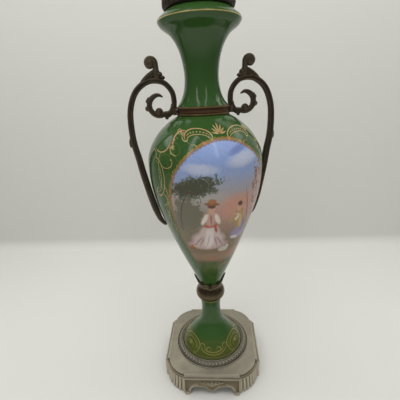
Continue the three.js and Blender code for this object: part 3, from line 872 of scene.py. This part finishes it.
neck_tall = neck_high - neck_low
NECK_FOOT = 33
NECK_THROAT = 21.7
NECK_SEAT = 39.7
NECK_SEAT_WIDTH = 3.4
flare = NECK_FOOT - NECK_THROAT
bell = neck_radius - NECK_THROAT
NECK_FLARE = [(0.557, 0.067), (0.15, 0.185), (0, 0.355)]
NECK_BELL = [(0.174, 0.61), (0.51, 0.77), (0.89, 0.849), (1, 0.893)]
neck_shape = [(NECK_FOOT, 0)]
neck_shape += [(NECK_THROAT + out * flare, up) for out, up in NECK_FLARE]
neck_shape += [(NECK_THROAT + out * bell, up) for out, up in NECK_BELL]
neck_line = eased(levels(neck_low, neck_tall, neck_shape))
LIP_SHAPE = [(neck_radius - 0.5, 0.915), (NECK_SEAT + 0.6 * (neck_radius - NECK_SEAT), 0.95), (NECK_SEAT, 1)]
lip_line = eased([neck_line[-1], *levels(neck_low, neck_tall, LIP_SHAPE)])
neck_inside = inner(neck_line, WALL)[::-1][4:-1]
bm = bmesh.new()
mouth = levels(neck_low, neck_tall, [(NECK_SEAT - NECK_SEAT_WIDTH, 1), (NECK_SEAT - NECK_SEAT_WIDTH, 0.9)])
outline = [*neck_line, *lip_line[1:], *mouth, *neck_inside, (NECK_FOOT - WALL, neck_low)]
spin_profile(bm, outline, 160)
hand_over(bm, "porcelain_neck", "neck", NECK_FINISH, 50)

# %% [markdown]
# ## Collar and mouth ring
# The collar is a plain band with a rounded bead at both edges and a row of pearls on the upper one. The ring
# on the lip is a cast band of upright leaves. On the ring the turned shape is made first, and then each point
# of the band is moved outwards by a leaf shape that repeats round it.

# %% Collar
collar_mid = (collar_low + collar_high) / 2
COLLAR_RADIUS = 33.7
COLLAR_BORE = 27
bead = collar_bead_radius - COLLAR_RADIUS
collar_line = [(COLLAR_BORE, collar_low), (COLLAR_RADIUS, collar_low)]
for middle in (collar_low + bead, collar_high - bead):
    for step in range(1, 8):
        angle = math.pi * (step / 8 - 0.5)
        collar_line.append(around((COLLAR_RADIUS, middle), bead, angle))
    if middle < collar_mid:
        collar_line += [
            (COLLAR_RADIUS - 0.5, middle + 1.3 * bead),
            (COLLAR_RADIUS + 0.1, middle + 1.9 * bead),
            (COLLAR_RADIUS + 0.3, collar_mid + 0.5),
            (COLLAR_RADIUS - 0.3, collar_high - 2.3 * bead),
        ]
collar_line += [(COLLAR_RADIUS, collar_high), (COLLAR_BORE, collar_high)]
bm = bmesh.new()
spin_profile(bm, collar_line, 128)
PEARLS = 84
PEARL_RADIUS = 0.85
for i in range(PEARLS):
    angle = 2 * math.pi * i / PEARLS
    place = Matrix.Rotation(angle, 4, "Z") @ Matrix.Translation((COLLAR_RADIUS + 0.5, 0, collar_high - bead))
    bmesh.ops.create_uvsphere(bm, u_segments=8, v_segments=6, radius=PEARL_RADIUS, matrix=place)
hand_over(bm, "metal_collar", "collar", BAND_FINISH)

# %% Mouth ring
RING_SEAT = 41.2
RING_BORE = 35.5
RING_COVE = 36.7
RING_LIP = 41.5
RING_LEAVES = 40
ring_tall = ring_high - ring_low
RING_SHAPE = [
    (RING_SEAT, 0),
    (ring_radius - 0.4, 0.1),
    (ring_radius - 0.2, 0.28),
    (ring_radius - 0.4, 0.42),
    (RING_SEAT, 0.55),
    (RING_COVE, 0.66),
    (RING_COVE, 0.78),
    (RING_LIP, 0.9),
    (RING_LIP, 1),
]
ring_outside = eased(levels(ring_low, ring_tall, RING_SHAPE), 8)
bm = bmesh.new()
spin_profile(bm, [(RING_BORE, ring_low), *ring_outside, (RING_BORE, ring_high)], 480)
for vert in bm.verts:
    share = (vert.co.z - ring_low) / (0.5 * ring_tall)
    radius = math.hypot(vert.co.x, vert.co.y)
    if radius > RING_BORE + 1 and 0.02 < share < 1:
        turn = math.atan2(vert.co.y, vert.co.x) * RING_LEAVES / (2 * math.pi)
        across = 2 * abs(turn % 1 - 0.5)
        leaf = max(0, math.sin(math.pi * share) - across**2 * (0.4 + share))
        vein = 0.35 if across < 0.12 else 0
        move = -1.2 + 1.4 * leaf - vein * leaf
        grow = (radius + move) / radius
        vert.co.x *= grow
        vert.co.y *= grow
hand_over(bm, "metal_mouth_ring", "mouth_ring", DARK_FINISH, 50)

# %% [markdown]
# ## Knop
# Under the body sits a flattened ball with a leafy cup. Its two long leaves stand under the handles and the
# others are short, with small teeth between them, each given as length, width and spread. A leaf is a grid:
# it is narrow at its root, widest in the middle and pointed at its tip. It curls outwards as it rises, its
# edges are cupped, and a rib runs up its middle. Solidify then gives it its thickness.

# %% Knop and its leaves
KNOP_RADIUS = 23.1
KNOP_TALL = 25.2
KNOP_TOP_RADIUS = 18.2
KNOP_FOOT_RADIUS = 16.8
LEAVES = 8
LEAF_TURN = 3
SIDE_SINE = 0.9
SIDE_LEAF = (18, 9, 6.6)
LEAF = (9, 8, 3.2)
TEETH = 22
TOOTH = (9.5, 5, 1.2)
LEAF_THICK = 1.1
knop_top = knop_low + KNOP_TALL
KNOP_SHAPE = [
    (KNOP_FOOT_RADIUS, 0),
    (0.93 * KNOP_RADIUS, 0.15),
    (KNOP_RADIUS, 0.38),
    (0.96 * KNOP_RADIUS, 0.6),
    (KNOP_TOP_RADIUS + 0.3, 0.88),
    (KNOP_TOP_RADIUS, 1),
]
knop_line = eased(levels(knop_low, KNOP_TALL, KNOP_SHAPE))
bm = bmesh.new()
spin_profile(bm, [(0, knop_low), *knop_line, (0, knop_top)], 128, closed=False)


def add_leaf(bm, degrees, length, width, spread, start):
    """One cupped leaf of the calyx."""
    grid = bmesh.ops.create_grid(bm, x_segments=12, y_segments=16, size=0.5)["verts"]
    for vert in grid:
        side, up = vert.co.x * 2, vert.co.y + 0.5
        half = 0.5 * width * (0.62 + 0.5 * math.sin(math.pi * up * 0.62) - 1.02 * up**5)
        curl = spread * up**1.7
        cup = 0.9 * side * side * math.sin(math.pi * up)
        rib = 0.45 * max(0, 1 - 5 * abs(side))
        veins = 0.14 * math.sin(14 * up + 9 * abs(side))
        out = start + curl + cup + rib + veins
        angle = math.radians(degrees) + side * half / (start + curl)
        z = knop_top - 2 + up * length
        vert.co = (out * math.sin(angle), -out * math.cos(angle), z)
    bmesh.ops.solidify(bm, geom=faces_of(grid), thickness=-LEAF_THICK)


for i in range(LEAVES):
    turn = LEAF_TURN + i * 360 / LEAVES
    beside = abs(math.sin(math.radians(turn))) > SIDE_SINE
    length, width, spread = SIDE_LEAF if beside else LEAF
    add_leaf(bm, turn, length, width, spread, KNOP_TOP_RADIUS)
for i in range(TEETH):
    add_leaf(bm, LEAF_TURN + (i + 0.5) * 360 / TEETH, *TOOTH, KNOP_TOP_RADIUS - 0.3)
hand_over(bm, "metal_knop", "knop", KNOP_FINISH, 50)

# %% [markdown]
# ## Handles
# A handle is cast in one plane. Its bar starts in a point against the body, bows out, arches over and comes
# down to the collar; a scroll springs from its foot. Each bar is a ring of points that is extruded step by
# step along a smooth line, and every new ring is moved and scaled to fit. Ovals added to it make the buds.


# %% Bars and lobes
def sweep(bm, line, width, depth, sides=16, square=2.0):
    """A bar along points (across, up). width and depth are functions of the share of its length.

    Its section is an oval where 'square' is 2, and closer to a rounded box as that grows.
    """
    spots = [Vector((r, 0, z)) for r, z in line]
    made = bmesh.ops.create_circle(bm, cap_ends=True, radius=1, segments=sides)
    ring = edges_of(made["verts"])
    for vert in made["verts"]:
        vert.co /= (abs(vert.co.x) ** square + abs(vert.co.y) ** square) ** (1 / square)
    verts, last = made["verts"], Matrix.Identity(4)
    for i, spot in enumerate(spots):
        way = (spots[min(i + 1, len(spots) - 1)] - spots[max(i - 1, 0)]).normalized()
        side = Vector((0, 1, 0))
        out = side.cross(way)
        t = i / (len(spots) - 1)
        fit = Matrix.LocRotScale(spot, Matrix((out, side, way)).transposed(), (width(t) / 2, depth(t) / 2, 1))
        if i:
            grown = bmesh.ops.extrude_edge_only(bm, edges=ring)["geom"]
            verts = points_in(grown)
            fresh = set(verts)
            ring = [g for g in grown if isinstance(g, bmesh.types.BMEdge) and set(g.verts) <= fresh]
        bmesh.ops.transform(bm, matrix=fit @ last.inverted(), verts=verts)
        last = fit
    bmesh.ops.contextual_create(bm, geom=ring)


def lobe(bm, start, end, width, depth, y=0.0):
    """A flattened oval from one point of the handle's plane to another."""
    a, b = Vector((start[0], y, start[1])), Vector((end[0], y, end[1]))
    way = (b - a).normalized()
    side = Vector((0, 1, 0))
    turned = Matrix((side.cross(way), side, way)).transposed()
    fit = Matrix.LocRotScale((a + b) / 2, turned, (width / 2, depth / 2, (b - a).length / 2))
    bmesh.ops.create_uvsphere(bm, u_segments=20, v_segments=14, radius=1, matrix=fit)


def bud(bm, r, z, radius, depth=None):
    lobe(bm, (r, z - radius), (r, z + radius), 2 * radius, 2 * (depth or radius))


# %% The handle's measures, as on its casting
HANDLE_TURN = 12.6
BOW = 16.6
RISE = 37.7
DROP = 157
BAR_WIDTH = 8.9
BAR_DEPTH = 10
SQUARE = 3.6
TIP_WIDTH = 2.4
ARCH_WIDTH = 7.4
LIMB_WIDTH = 6.6
SCROLL_WIDTH = 6.8
SCROLL_RADIUS = 12.4
SCROLL_REACH = 21
SCROLL_RISE = 8.6
SCROLL_TURN = 118
VOLUTE_RADIUS = 8.3
VOLUTE_RISE = 19.8
HUG = 0.6
root_radius = collar_bead_radius + 0.3
reach_radius = body_radius + BOW


def body_at(z):
    """The body's radius at a height."""
    for (r0, z0), (r1, z1) in zip(body_line, body_line[1:]):
        if z0 <= z <= z1:
            return r0 + (r1 - r0) * (z - z0) / max(z1 - z0, 1e-6)
    return body_line[-1][0]


def bar_line():
    """The bar's middle line: close to the body, bowed out, over the arch and down to the collar."""
    low = [collar_mid - share * DROP for share in (1, 0.93, 0.85, 0.77, 0.7)]
    hug = [(body_at(z) + 0.55 * (BAR_WIDTH if i else TIP_WIDTH) + HUG, z) for i, z in enumerate(low)]
    bow = []
    for share, away in ((0.63, 0.35), (0.495, 0.49), (0.365, 0.74)):
        z = collar_mid - share * DROP
        bow.append((body_at(z) + away * BOW, z))
    arch = [
        (root_radius + out * (reach_radius - root_radius), collar_mid + up)
        for out, up in (
            (0.98, -0.239 * DROP),
            (1, -0.082 * DROP),
            (0.972, 0.135 * RISE),
            (0.86, 0.6 * RISE),
            (0.714, 0.852 * RISE),
            (0.5, RISE),
            (0.228, 0.934 * RISE),
            (0.06, 0.63 * RISE),
            (0.03, 0.3 * RISE),
            (0.05, 0.06 * RISE),
        )
    ]
    return eased([*hug, *bow, *arch], 7)


def bar_width(t):
    """Narrow at the tip, widest against the body, and narrower again over the arch."""
    if t < 0.12:
        return TIP_WIDTH + (BAR_WIDTH - TIP_WIDTH) * math.sqrt(t / 0.12)
    thinned = BAR_WIDTH + (ARCH_WIDTH - BAR_WIDTH) * min(max((t - 0.35) / 0.22, 0), 1)
    return thinned + (LIMB_WIDTH - ARCH_WIDTH) * min(max((t - 0.7) / 0.12, 0), 1)


def scroll_width(t):
    return SCROLL_WIDTH if t < 0.72 else SCROLL_WIDTH * (1 - 0.75 * ((t - 0.72) / 0.28) ** 2)


# %% One handle, in its own plane
def spiral(centre, start, turns, begin, end, steps=36):
    """Points from the rim of a volute to its middle."""
    line = []
    for i in range(steps + 1):
        t = i / steps
        angle = math.radians(begin) - 2 * math.pi * turns * t
        radius = start + (end - start) * t
        line.append(around(centre, radius, angle))
    return line


def build_handle(bm):
    deep = BAR_DEPTH / BAR_WIDTH
    sweep(bm, bar_line(), bar_width, lambda t: deep * bar_width(t), 20, SQUARE)
    centre = (root_radius + SCROLL_REACH, collar_mid + SCROLL_RISE)
    points = [(root_radius + out, collar_mid + up) for out, up in ((2.6, 9), (4.2, 3.6), (8.2, -1.4))]
    for step in range(-4, 5):
        angle = math.radians(step * SCROLL_TURN / 4)
        radius = 0.9 * SCROLL_RADIUS if step == 4 else SCROLL_RADIUS
        points.append(around(centre, radius, angle))
    sweep(bm, eased(points, 6), scroll_width, lambda t: 1.05 * scroll_width(t), 16, SQUARE)
    lobe(bm, (root_radius + 1.5, collar_mid + 3.5), (root_radius + 13, collar_mid - 6.6), 6.4, 7.4)

    crown = root_radius + 0.4 * (reach_radius - root_radius)
    top = collar_mid + RISE
    # the pointed leaf on the arch's outer side, with two ribs, and three rolls on its inner side
    lobe(bm, (crown - 3, top + 12.5), (crown + 19, top - 4.5), 8.5, 7.4)
    for side in (-1, 1):
        lobe(bm, (crown - 2, top + 12), (crown + 14, top - 0.5), 5.0, 2.8, side * 2.6)
    lobe(bm, (crown + 1, top + 13), (crown - 5, top + 1), 10, 7.6)
    for i, (back, up, size) in enumerate(((3.4, 12, 2.7), (6.6, 8, 3.0), (9.9, 3.6, 2.8))):
        roll, high = crown - back, top + up
        lobe(bm, (roll - size, high - 1), (roll + size + 1.5, high + 1.2), 1.7 * size, 8.2 - i)
    volute = (crown + 4.4, top + VOLUTE_RISE)
    curl = spiral(volute, VOLUTE_RADIUS - 2, 1.1, 175, 1.5)
    stem = [(crown - 0.8, top + 9), (crown - 2.2, top + 0.72 * VOLUTE_RISE), *curl]
    sweep(bm, stem, lambda t: 7.2 - 3.4 * t, lambda t: 7.4 + 1.6 * t, 12)
    bud(bm, volute[0] + 0.5, volute[1] - 0.3, 6.2, 4.9)

    r, z = centre
    bud(bm, r + 0.8, z - 0.64 * SCROLL_RADIUS, 5.1, 4.6)
    bud(bm, r + 1.2 * SCROLL_RADIUS, z - 0.27 * SCROLL_RADIUS, 3.3)
    bud(bm, r + 1.08 * SCROLL_RADIUS, z + 0.43 * SCROLL_RADIUS, 3.2, 3)
    lobe(bm, (r + 1.0 * SCROLL_RADIUS, z), (r + 1.05 * SCROLL_RADIUS, z + 0.85 * SCROLL_RADIUS), 4.4, 5)
    bud(bm, r - 0.68 * SCROLL_RADIUS, z - 1.24 * SCROLL_RADIUS, 2.5)
    lobe(bm, (r - 12, z - 11), (r + 6, z - 14.4), 4.4, 6.8)
    knot = [(reach_radius + out, collar_mid - share * DROP) for out, share in ((3, 0.19), (3.4, 0.27))]
    lobe(bm, *knot, 4, 5)
    # the pad against the collar, and its tongue between the collar's two beads
    tall = collar_high - collar_low
    for inside, outside, height in (
        (root_radius, root_radius + 4.4, tall - 2),
        (COLLAR_RADIUS + 0.6, root_radius + 1.5, tall - 4.4 * bead),
    ):
        size = (outside - inside, BAR_DEPTH + 0.8, height)
        fit = Matrix.LocRotScale(((inside + outside) / 2, 0, collar_mid), None, size)
        pad = bmesh.ops.create_cube(bm, size=1, matrix=fit)["verts"]
        round_edges(bm, edges_of(pad), 0.6, 3)


for name, node, turn in (
    ("metal_handle_right", "handle_right", HANDLE_TURN),
    ("metal_handle_left", "handle_left", HANDLE_TURN + 180),
):
    bm = bmesh.new()
    build_handle(bm)
    turn_verts(bm, turn, bm.verts)
    hand_over(bm, name, node, DARK_FINISH, 50)

# %% [markdown]
# ## Base
# The base is one casting: a plate whose straight sides stand out as tablets with a sloping edge and an arched
# apron, and whose corners are rounded, with a cove, a double bead and a fan of reeds. A ring of worn leaves
# holds the porcelain foot. Each part is made once and copied to the four sides.

# %% The base's measures, and its plate
ACROSS = 152.2
BASE_TALL = 36.6
PLATE = 4.5
CAST = 4.5
TABLET = 84.8
SLOPE = 3.8
EDGE_DROP = 4.6
ARCH = 17.2
FOOT_WIDTH = 8.5
PENDANT = 9.5
CORNER = 40
CORNER_PLATE = 37
CORNER_STEP = 3.6
BEAD_DROP = 8.5
CORNER_LIFT = 1.5
FLARE = 3
REEDS = 7
REED_DEPTH = 1.4
SHARP_EDGE = 0.6
half = ACROSS / 2
end = TABLET / 2
plate_half = half - SLOPE
bead_end = half - CORNER_STEP
corner_at = 0.5 * (end + bead_end - math.sqrt(2 * CORNER**2 - (bead_end - end) ** 2))
corner_middle = Vector((corner_at, -corner_at, 0))


def corner_point(radius, degrees, z=0):
    """A point round the middle of the front right corner."""
    return Vector((*around(corner_middle, radius, math.radians(degrees)), z))


def corner_limits(radius):
    """The directions in which an arc of that radius meets the two tablets."""
    first = math.degrees(math.acos((end - corner_at) / radius))
    return -first, first - 90


def four_sides(bm, verts):
    """Copies a shape to the other three sides of the base."""
    faces = faces_of(verts)
    for turn in (90, 180, 270):
        turn_verts(bm, turn, points_in(bmesh.ops.duplicate(bm, geom=faces)["geom"]))


def block(bm, outline, push):
    """A flat outline of 3-D points pushed out into a solid; its new points are returned."""
    start = [bm.verts.new(point) for point in outline]
    face = bm.faces.new(start)
    grown = bmesh.ops.extrude_face_region(bm, geom=[face], use_keep_orig=True)["geom"]
    moved = points_in(grown)
    bmesh.ops.translate(bm, vec=push, verts=moved)
    return start + moved


def soften(bm, verts, offset):
    """Bevels every sharp edge of a shape and returns the points it has then."""
    sharp = [edge for edge in edges_of(verts) if edge.calc_face_angle(0) > SHARP_EDGE]
    made = round_edges(bm, sharp, offset, 2, clamp=True)
    return list({v for v in (*verts, *made) if v.is_valid})


def since(bm, before):
    """The points made since 'before' was taken."""
    return [vert for vert in bm.verts if vert not in before]


base = bmesh.new()
first, last = corner_limits(CORNER_PLATE)
quarter = [(-end, -plate_half), (end, -plate_half)]
quarter += [corner_point(CORNER_PLATE, first + (last - first) * i / 18).xy for i in range(19)]
plan = []
for turn in range(4):
    rotate = Matrix.Rotation(math.radians(90 * turn), 2)
    plan += [rotate @ Vector(point) for point in quarter]
soften(base, block(base, [(p.x, p.y, BASE_TALL - PLATE) for p in plan], (0, 0, PLATE)), 0.5)
print("plate outline has", len(plan), "points")

# %% [markdown]
# A tablet is a sloping rail over an upright face. The face is an outline with an arch cut into it. Insetting
# it and pushing the middle back a little leaves a fine rim, and two raised lines rise from each foot beside
# the arch. The relief in the middle is a bud with leaves to both sides.


# %% Tablets
def bend(start, control, stop, steps=8):
    """Points along a curve that is pulled towards a control point, without its first."""
    points = []
    for i in range(1, steps + 1):
        t = i / steps
        near, mid, far = (1 - t) ** 2, 2 * t * (1 - t), t * t
        points.append(tuple(near * a + mid * b + far * c for a, b, c in zip(start, control, stop)))
    return points


face_top = BASE_TALL - EDGE_DROP
foot_in = end - FOOT_WIDTH
arch_top = (0.55 * end, ARCH)
dip_side = (0.24 * end, ARCH - 1)
dip = (0, ARCH - PENDANT)
right_side = [
    (foot_in, 0),
    *bend((foot_in, 0), (foot_in, ARCH), arch_top),
    dip_side,
    *bend(dip_side, (0.1 * end, ARCH - PENDANT + 1.5), dip, 5),
]
left_side = [(-x, z) for x, z in right_side[-2::-1]]
apron = [(end, face_top), (end, 0), *right_side, *left_side, (-end, 0), (-end, face_top)]

before = set(base.verts)
face_verts = block(base, [(x, -half + CAST, z) for x, z in apron], (0, -CAST, 0))
faces = faces_of(face_verts)
bmesh.ops.recalc_face_normals(base, faces=faces)
base.normal_update()
front = [face for face in faces if face.normal.y < -0.9]
bmesh.ops.inset_region(base, faces=front, thickness=0.7, depth=0, use_even_offset=True)
bmesh.ops.inset_region(base, faces=front, thickness=0.5, depth=-0.25, use_even_offset=True)
face_verts = since(base, before)

RAIL_EDGE = [(0, -1.4), (0.4, -0.8), (0.3, -0.1), (-0.3, 0.4), (-1.1, 0.3), (-1.6, 0.1), (-2.6, 0.9)]
RAIL_TOP = [(0.3, -0.4), (-0.2, 0.3), (-0.9, 0.3), (-1.4, -0.2)]
rail_back = half - CAST - 2
slope = [(rail_back, face_top - 1)]
slope += [(half + out, face_top + up) for out, up in RAIL_EDGE]
slope += [(plate_half + out, BASE_TALL + up) for out, up in RAIL_TOP]
slope.append((rail_back, BASE_TALL - 0.2))
rail = block(base, [(-end, -y, z) for y, z in slope], (TABLET, 0, 0))
tablet = [*face_verts, *soften(base, rail, 0.25)]


def strip(bm, line, y, width, depth=1.2):
    """A thin raised line on the front of a tablet; its points are returned."""
    before = set(bm.verts)
    sweep(bm, line, lambda t: width, lambda t: depth, 8)
    fresh = since(bm, before)
    bmesh.ops.translate(bm, vec=(0, y, 0), verts=fresh)
    return fresh


front_y = -half + 0.35
for side in (-1, 1):
    for off, width in ((3.0, 1.2), (5.6, 1.0)):
        pull = (foot_in - 0.2 * off, ARCH + 0.75 * off)
        line = bend((foot_in + 0.6 * off, 6), pull, (0.5 * end, ARCH + off), 14)
        tablet += strip(base, [(side * x, z) for x, z in line], front_y, width)

before = set(base.verts)
mid_z = 0.5 * (ARCH + face_top) - 3.2
RELIEF = [
    ((0, -4), (0, 5), 3.4),
    ((1, -3), (7.5, 1.5), 2.6),
    ((2, 1), (8, 4.4), 2.2),
    ((7, 0.5), (14, 3.4), 2.0),
    ((13, 2.6), (18.5, 5.4), 1.6),
    ((12, 4), (9, 6.2), 1.4),
]
for (x0, z0), (x1, z1), width in RELIEF:
    for side in (-1, 1) if x0 else (1,):
        lobe(base, (side * x0, mid_z + z0), (side * x1, mid_z + z1), width, 2.4, front_y)
for side in (-1, 1):
    x = side * (end - FOOT_WIDTH / 2)
    fit = Matrix.LocRotScale((x, -half + 1.2, 3.4), None, (4.1, 2.6, 3.4))
    bmesh.ops.create_uvsphere(base, u_segments=16, v_segments=10, radius=1, matrix=fit)
tablet += since(base, before)
four_sides(base, [v for v in tablet if v.is_valid])
print("tablets done,", len(base.verts), "points so far")

# %% [markdown]
# A corner is a cove over a double bead, turned through part of a circle, and under it a wall with a row of
# upright reeds. A reed is a rod of rings from the table to the bead. It leans out a little towards the table,
# and is narrowed to a round end there.

# %% Corners
cove_low = BASE_TALL - BEAD_DROP
first, last = corner_limits(CORNER)
OVERLAP = 1.2
begin = first - OVERLAP
span = last - first + 2 * OVERLAP
CORNER_STEPS = 28


def turn_corner(bm, section):
    """A closed section of (radius, height) points turned through the corner."""
    verts = [bm.verts.new(corner_point(radius, begin, z)) for radius, z in section]
    face = bm.faces.new(verts)
    bmesh.ops.spin(
        bm,
        geom=[face, *face.edges, *verts],
        cent=corner_middle,
        axis=(0, 0, 1),
        angle=math.radians(span),
        steps=CORNER_STEPS,
    )


before = set(base.verts)
BEADS = [(-1, 0), (0.1, 0.5), (0.3, 1.3), (-0.2, 2), (-1.1, 2.2), (-0.9, 2.9), (-1.3, 3.6), (-2.4, 3.6)]
COVE = [(-1.2, 4.6), (-1.8, 6.4)]
corner_back = CORNER - 10
section = [(corner_back, cove_low)]
section += [(CORNER + out, cove_low + up) for out, up in BEADS]
section += [(CORNER_PLATE + out, cove_low + up) for out, up in COVE]
section += [(CORNER_PLATE - 1.2, BASE_TALL - 0.6), (corner_back, BASE_TALL - 0.6)]
turn_corner(base, section)
wall_in = CORNER - CAST - REED_DEPTH
wall_out = CORNER - 3.4 * REED_DEPTH
wall_low, wall_high = CORNER_LIFT + 0.8, cove_low + 0.4
turn_corner(
    base, [(wall_in, wall_low), (wall_out + FLARE, wall_low), (wall_out, wall_high), (wall_in, wall_high)]
)
REED_RINGS = ((0, 0.35), (0.9, 0.8), (2.4, 1), (cove_low - CORNER_LIFT + 0.6, 1))
reed_half = 0.5 * span / REEDS
reed_thick = 2 * REED_DEPTH
REED_SHARE = 0.82
REED_UNDER = 1.5
for i in range(REEDS):
    middle = begin + span * (i + 0.5) / REEDS
    loops = []
    for up, grow in REED_RINGS:
        cap = up in (REED_RINGS[0][0], REED_RINGS[-1][0])
        ring = bmesh.ops.create_circle(base, cap_ends=cap, radius=1, segments=16)["verts"]
        loops.append(edges_of(ring))
        spread = FLARE * (1 - up / REED_RINGS[-1][0])
        for vert in ring:
            radius = CORNER - REED_UNDER - reed_thick + spread + vert.co.y * reed_thick * grow
            across = vert.co.x * reed_half * grow * REED_SHARE
            vert.co = corner_point(radius, middle + across, CORNER_LIFT + up)
    for lower, upper in zip(loops, loops[1:]):
        bmesh.ops.bridge_loops(base, edges=lower + upper)
four_sides(base, since(base, before))

# %% [markdown]
# The ring round the foot has a thin outer ring, a groove, a band of worn laurel leaves and two bright inner
# beads. It is turned in many steps, and the points of the band are lifted into leaves.

# %% Ring moulding, and the base handed over
RING_OUT = 61.6
LAUREL = 64
LAUREL_LIFT = 1.1
ring_in = foot_radius + 0.3
RING_EDGE = [(0, -1), (0, 0.7), (-0.5, 1.3), (-1.3, 1.3), (-1.8, 0.6), (-2.4, 0.7)]
RING_BEADS = [(-8.3, 3.4), (-8.7, 4.2), (-9.2, 4.4), (-9.6, 3.6), (-10, 5), (-10.5, 5.3), (-11, 4.8)]
ring_profile = [(ring_in, BASE_TALL - 1)]
ring_profile += [(RING_OUT + out, BASE_TALL + up) for out, up in RING_EDGE]
BAND_ROWS = 9
band_start, band_stop = RING_OUT - 2.8, RING_OUT - 7.8
for i in range(BAND_ROWS + 1):
    t = i / BAND_ROWS
    rise = 1.4 + 3.0 * t + 0.9 * math.sin(math.pi * t)
    ring_profile.append((band_start + (band_stop - band_start) * t, BASE_TALL + rise))
ring_profile += [(RING_OUT + out, BASE_TALL + up) for out, up in RING_BEADS]
ring_profile.append((ring_in, BASE_TALL + 4))
before = set(base.verts)
spin_profile(base, ring_profile, 512)
for vert in since(base, before):
    radius = math.hypot(vert.co.x, vert.co.y)
    t = (radius - band_start) / (band_stop - band_start)
    if vert.co.z > BASE_TALL and 0 < t < 1:
        turn = math.atan2(vert.co.y, vert.co.x) * LAUREL / (2 * math.pi)
        across = abs(2 * ((turn + 0.8 * abs(t - 0.5)) % 1) - 1)
        vert.co.z += LAUREL_LIFT * math.sin(math.pi * t) * (0.5 - across)
hand_over(base, "metal_base", "base", BASE_FINISH, 40)

# %% [markdown]
# ## Floor and light
# The urn stands on a pale sheet that lies flat and then bends up into a wall not far behind it. One large
# soft light hangs above and a weak one fills from the front; both stay out of reflections, so the glaze keeps
# its dark middle and takes its pale rims from the sheet itself. Two narrow strips draw the glints, and two
# small panels light the sides of the lip.

# %% Floor
FLOOR_WIDE = 6
FLOOR_FRONT = -3.6
CURVE_START = 0.37
CURVE_RADIUS = 0.03
WALL_TOP = 2.4
CURVE_STEPS = 16
bm = bmesh.new()
side_line = [(FLOOR_FRONT, 0), (CURVE_START, 0)]
for step in range(1, CURVE_STEPS + 1):
    angle = 0.5 * math.pi * step / CURVE_STEPS
    side_line.append((CURVE_START + CURVE_RADIUS * math.sin(angle), CURVE_RADIUS * (1 - math.cos(angle))))
side_line.append((CURVE_START + CURVE_RADIUS, WALL_TOP))
verts = [bm.verts.new((-FLOOR_WIDE / 2, y, z)) for y, z in side_line]
edges = [bm.edges.new(pair) for pair in zip(verts, verts[1:])]
grown = bmesh.ops.extrude_edge_only(bm, edges=edges)["geom"]
bmesh.ops.translate(bm, vec=(FLOOR_WIDE, 0, 0), verts=points_in(grown))
bmesh.ops.recalc_face_normals(bm, faces=bm.faces)
floor_mesh = bpy.data.meshes.new("floor")
bm.to_mesh(floor_mesh)
bm.free()
floor_mesh.shade_smooth()
floor_finish = Finish("pale_floor")
floor_finish.shade(Base_Color=paint(222, 221, 216), Roughness=0.8)
floor_mesh.materials.append(floor_finish.material)
floor = bpy.data.objects.new("floor", floor_mesh)
bpy.context.scene.collection.objects.link(floor)
print("floor is", FLOOR_WIDE, "m wide")


# %% Lights
LIGHT_TINT = (1, 0.998, 0.985)
WORLD_TINT = (0.95, 0.96, 0.93, 1)
WORLD_STRENGTH = 0.16


def panel(name, place, aim, width, height, power, glossy=True):
    data = bpy.data.lights.new(name, "AREA")
    data.shape = "RECTANGLE"
    data.size = width
    data.size_y = height
    data.energy = power
    data.color = LIGHT_TINT
    light = bpy.data.objects.new(name, data)
    light.location = place
    light.rotation_mode = "QUATERNION"
    light.rotation_quaternion = (Vector(aim) - Vector(place)).to_track_quat("-Z", "Y")
    light.visible_glossy = glossy
    bpy.context.scene.collection.objects.link(light)


URN_MIDDLE = (0, 0, 0.28)
for light in (
    ("soft_above", (0, 0, 1.5), (0, 0.1, 0), 1.8, 1.4, 20.6, False),
    ("soft_front", (0, -1.4, 0.8), URN_MIDDLE, 1.6, 1.0, 4, False),
    ("glint_left", (-0.34, -0.55, 1.1), URN_MIDDLE, 0.1, 0.8, 0.9),
    ("glint_right", (0.3, -0.55, 1.1), URN_MIDDLE, 0.08, 0.8, 0.6),
    ("lip_left", (-0.95, 0.2, 1.1), URN_MIDDLE, 0.4, 0.3, 0.8),
    ("lip_right", (0.85, 0.25, 1.1), URN_MIDDLE, 0.4, 0.3, 0.7),
):
    panel(*light)

world = bpy.data.worlds.new("studio")
bpy.context.scene.world = world
world.use_nodes = True
background = world.node_tree.nodes["Background"].inputs
background["Color"].default_value = WORLD_TINT
background["Strength"].default_value = WORLD_STRENGTH
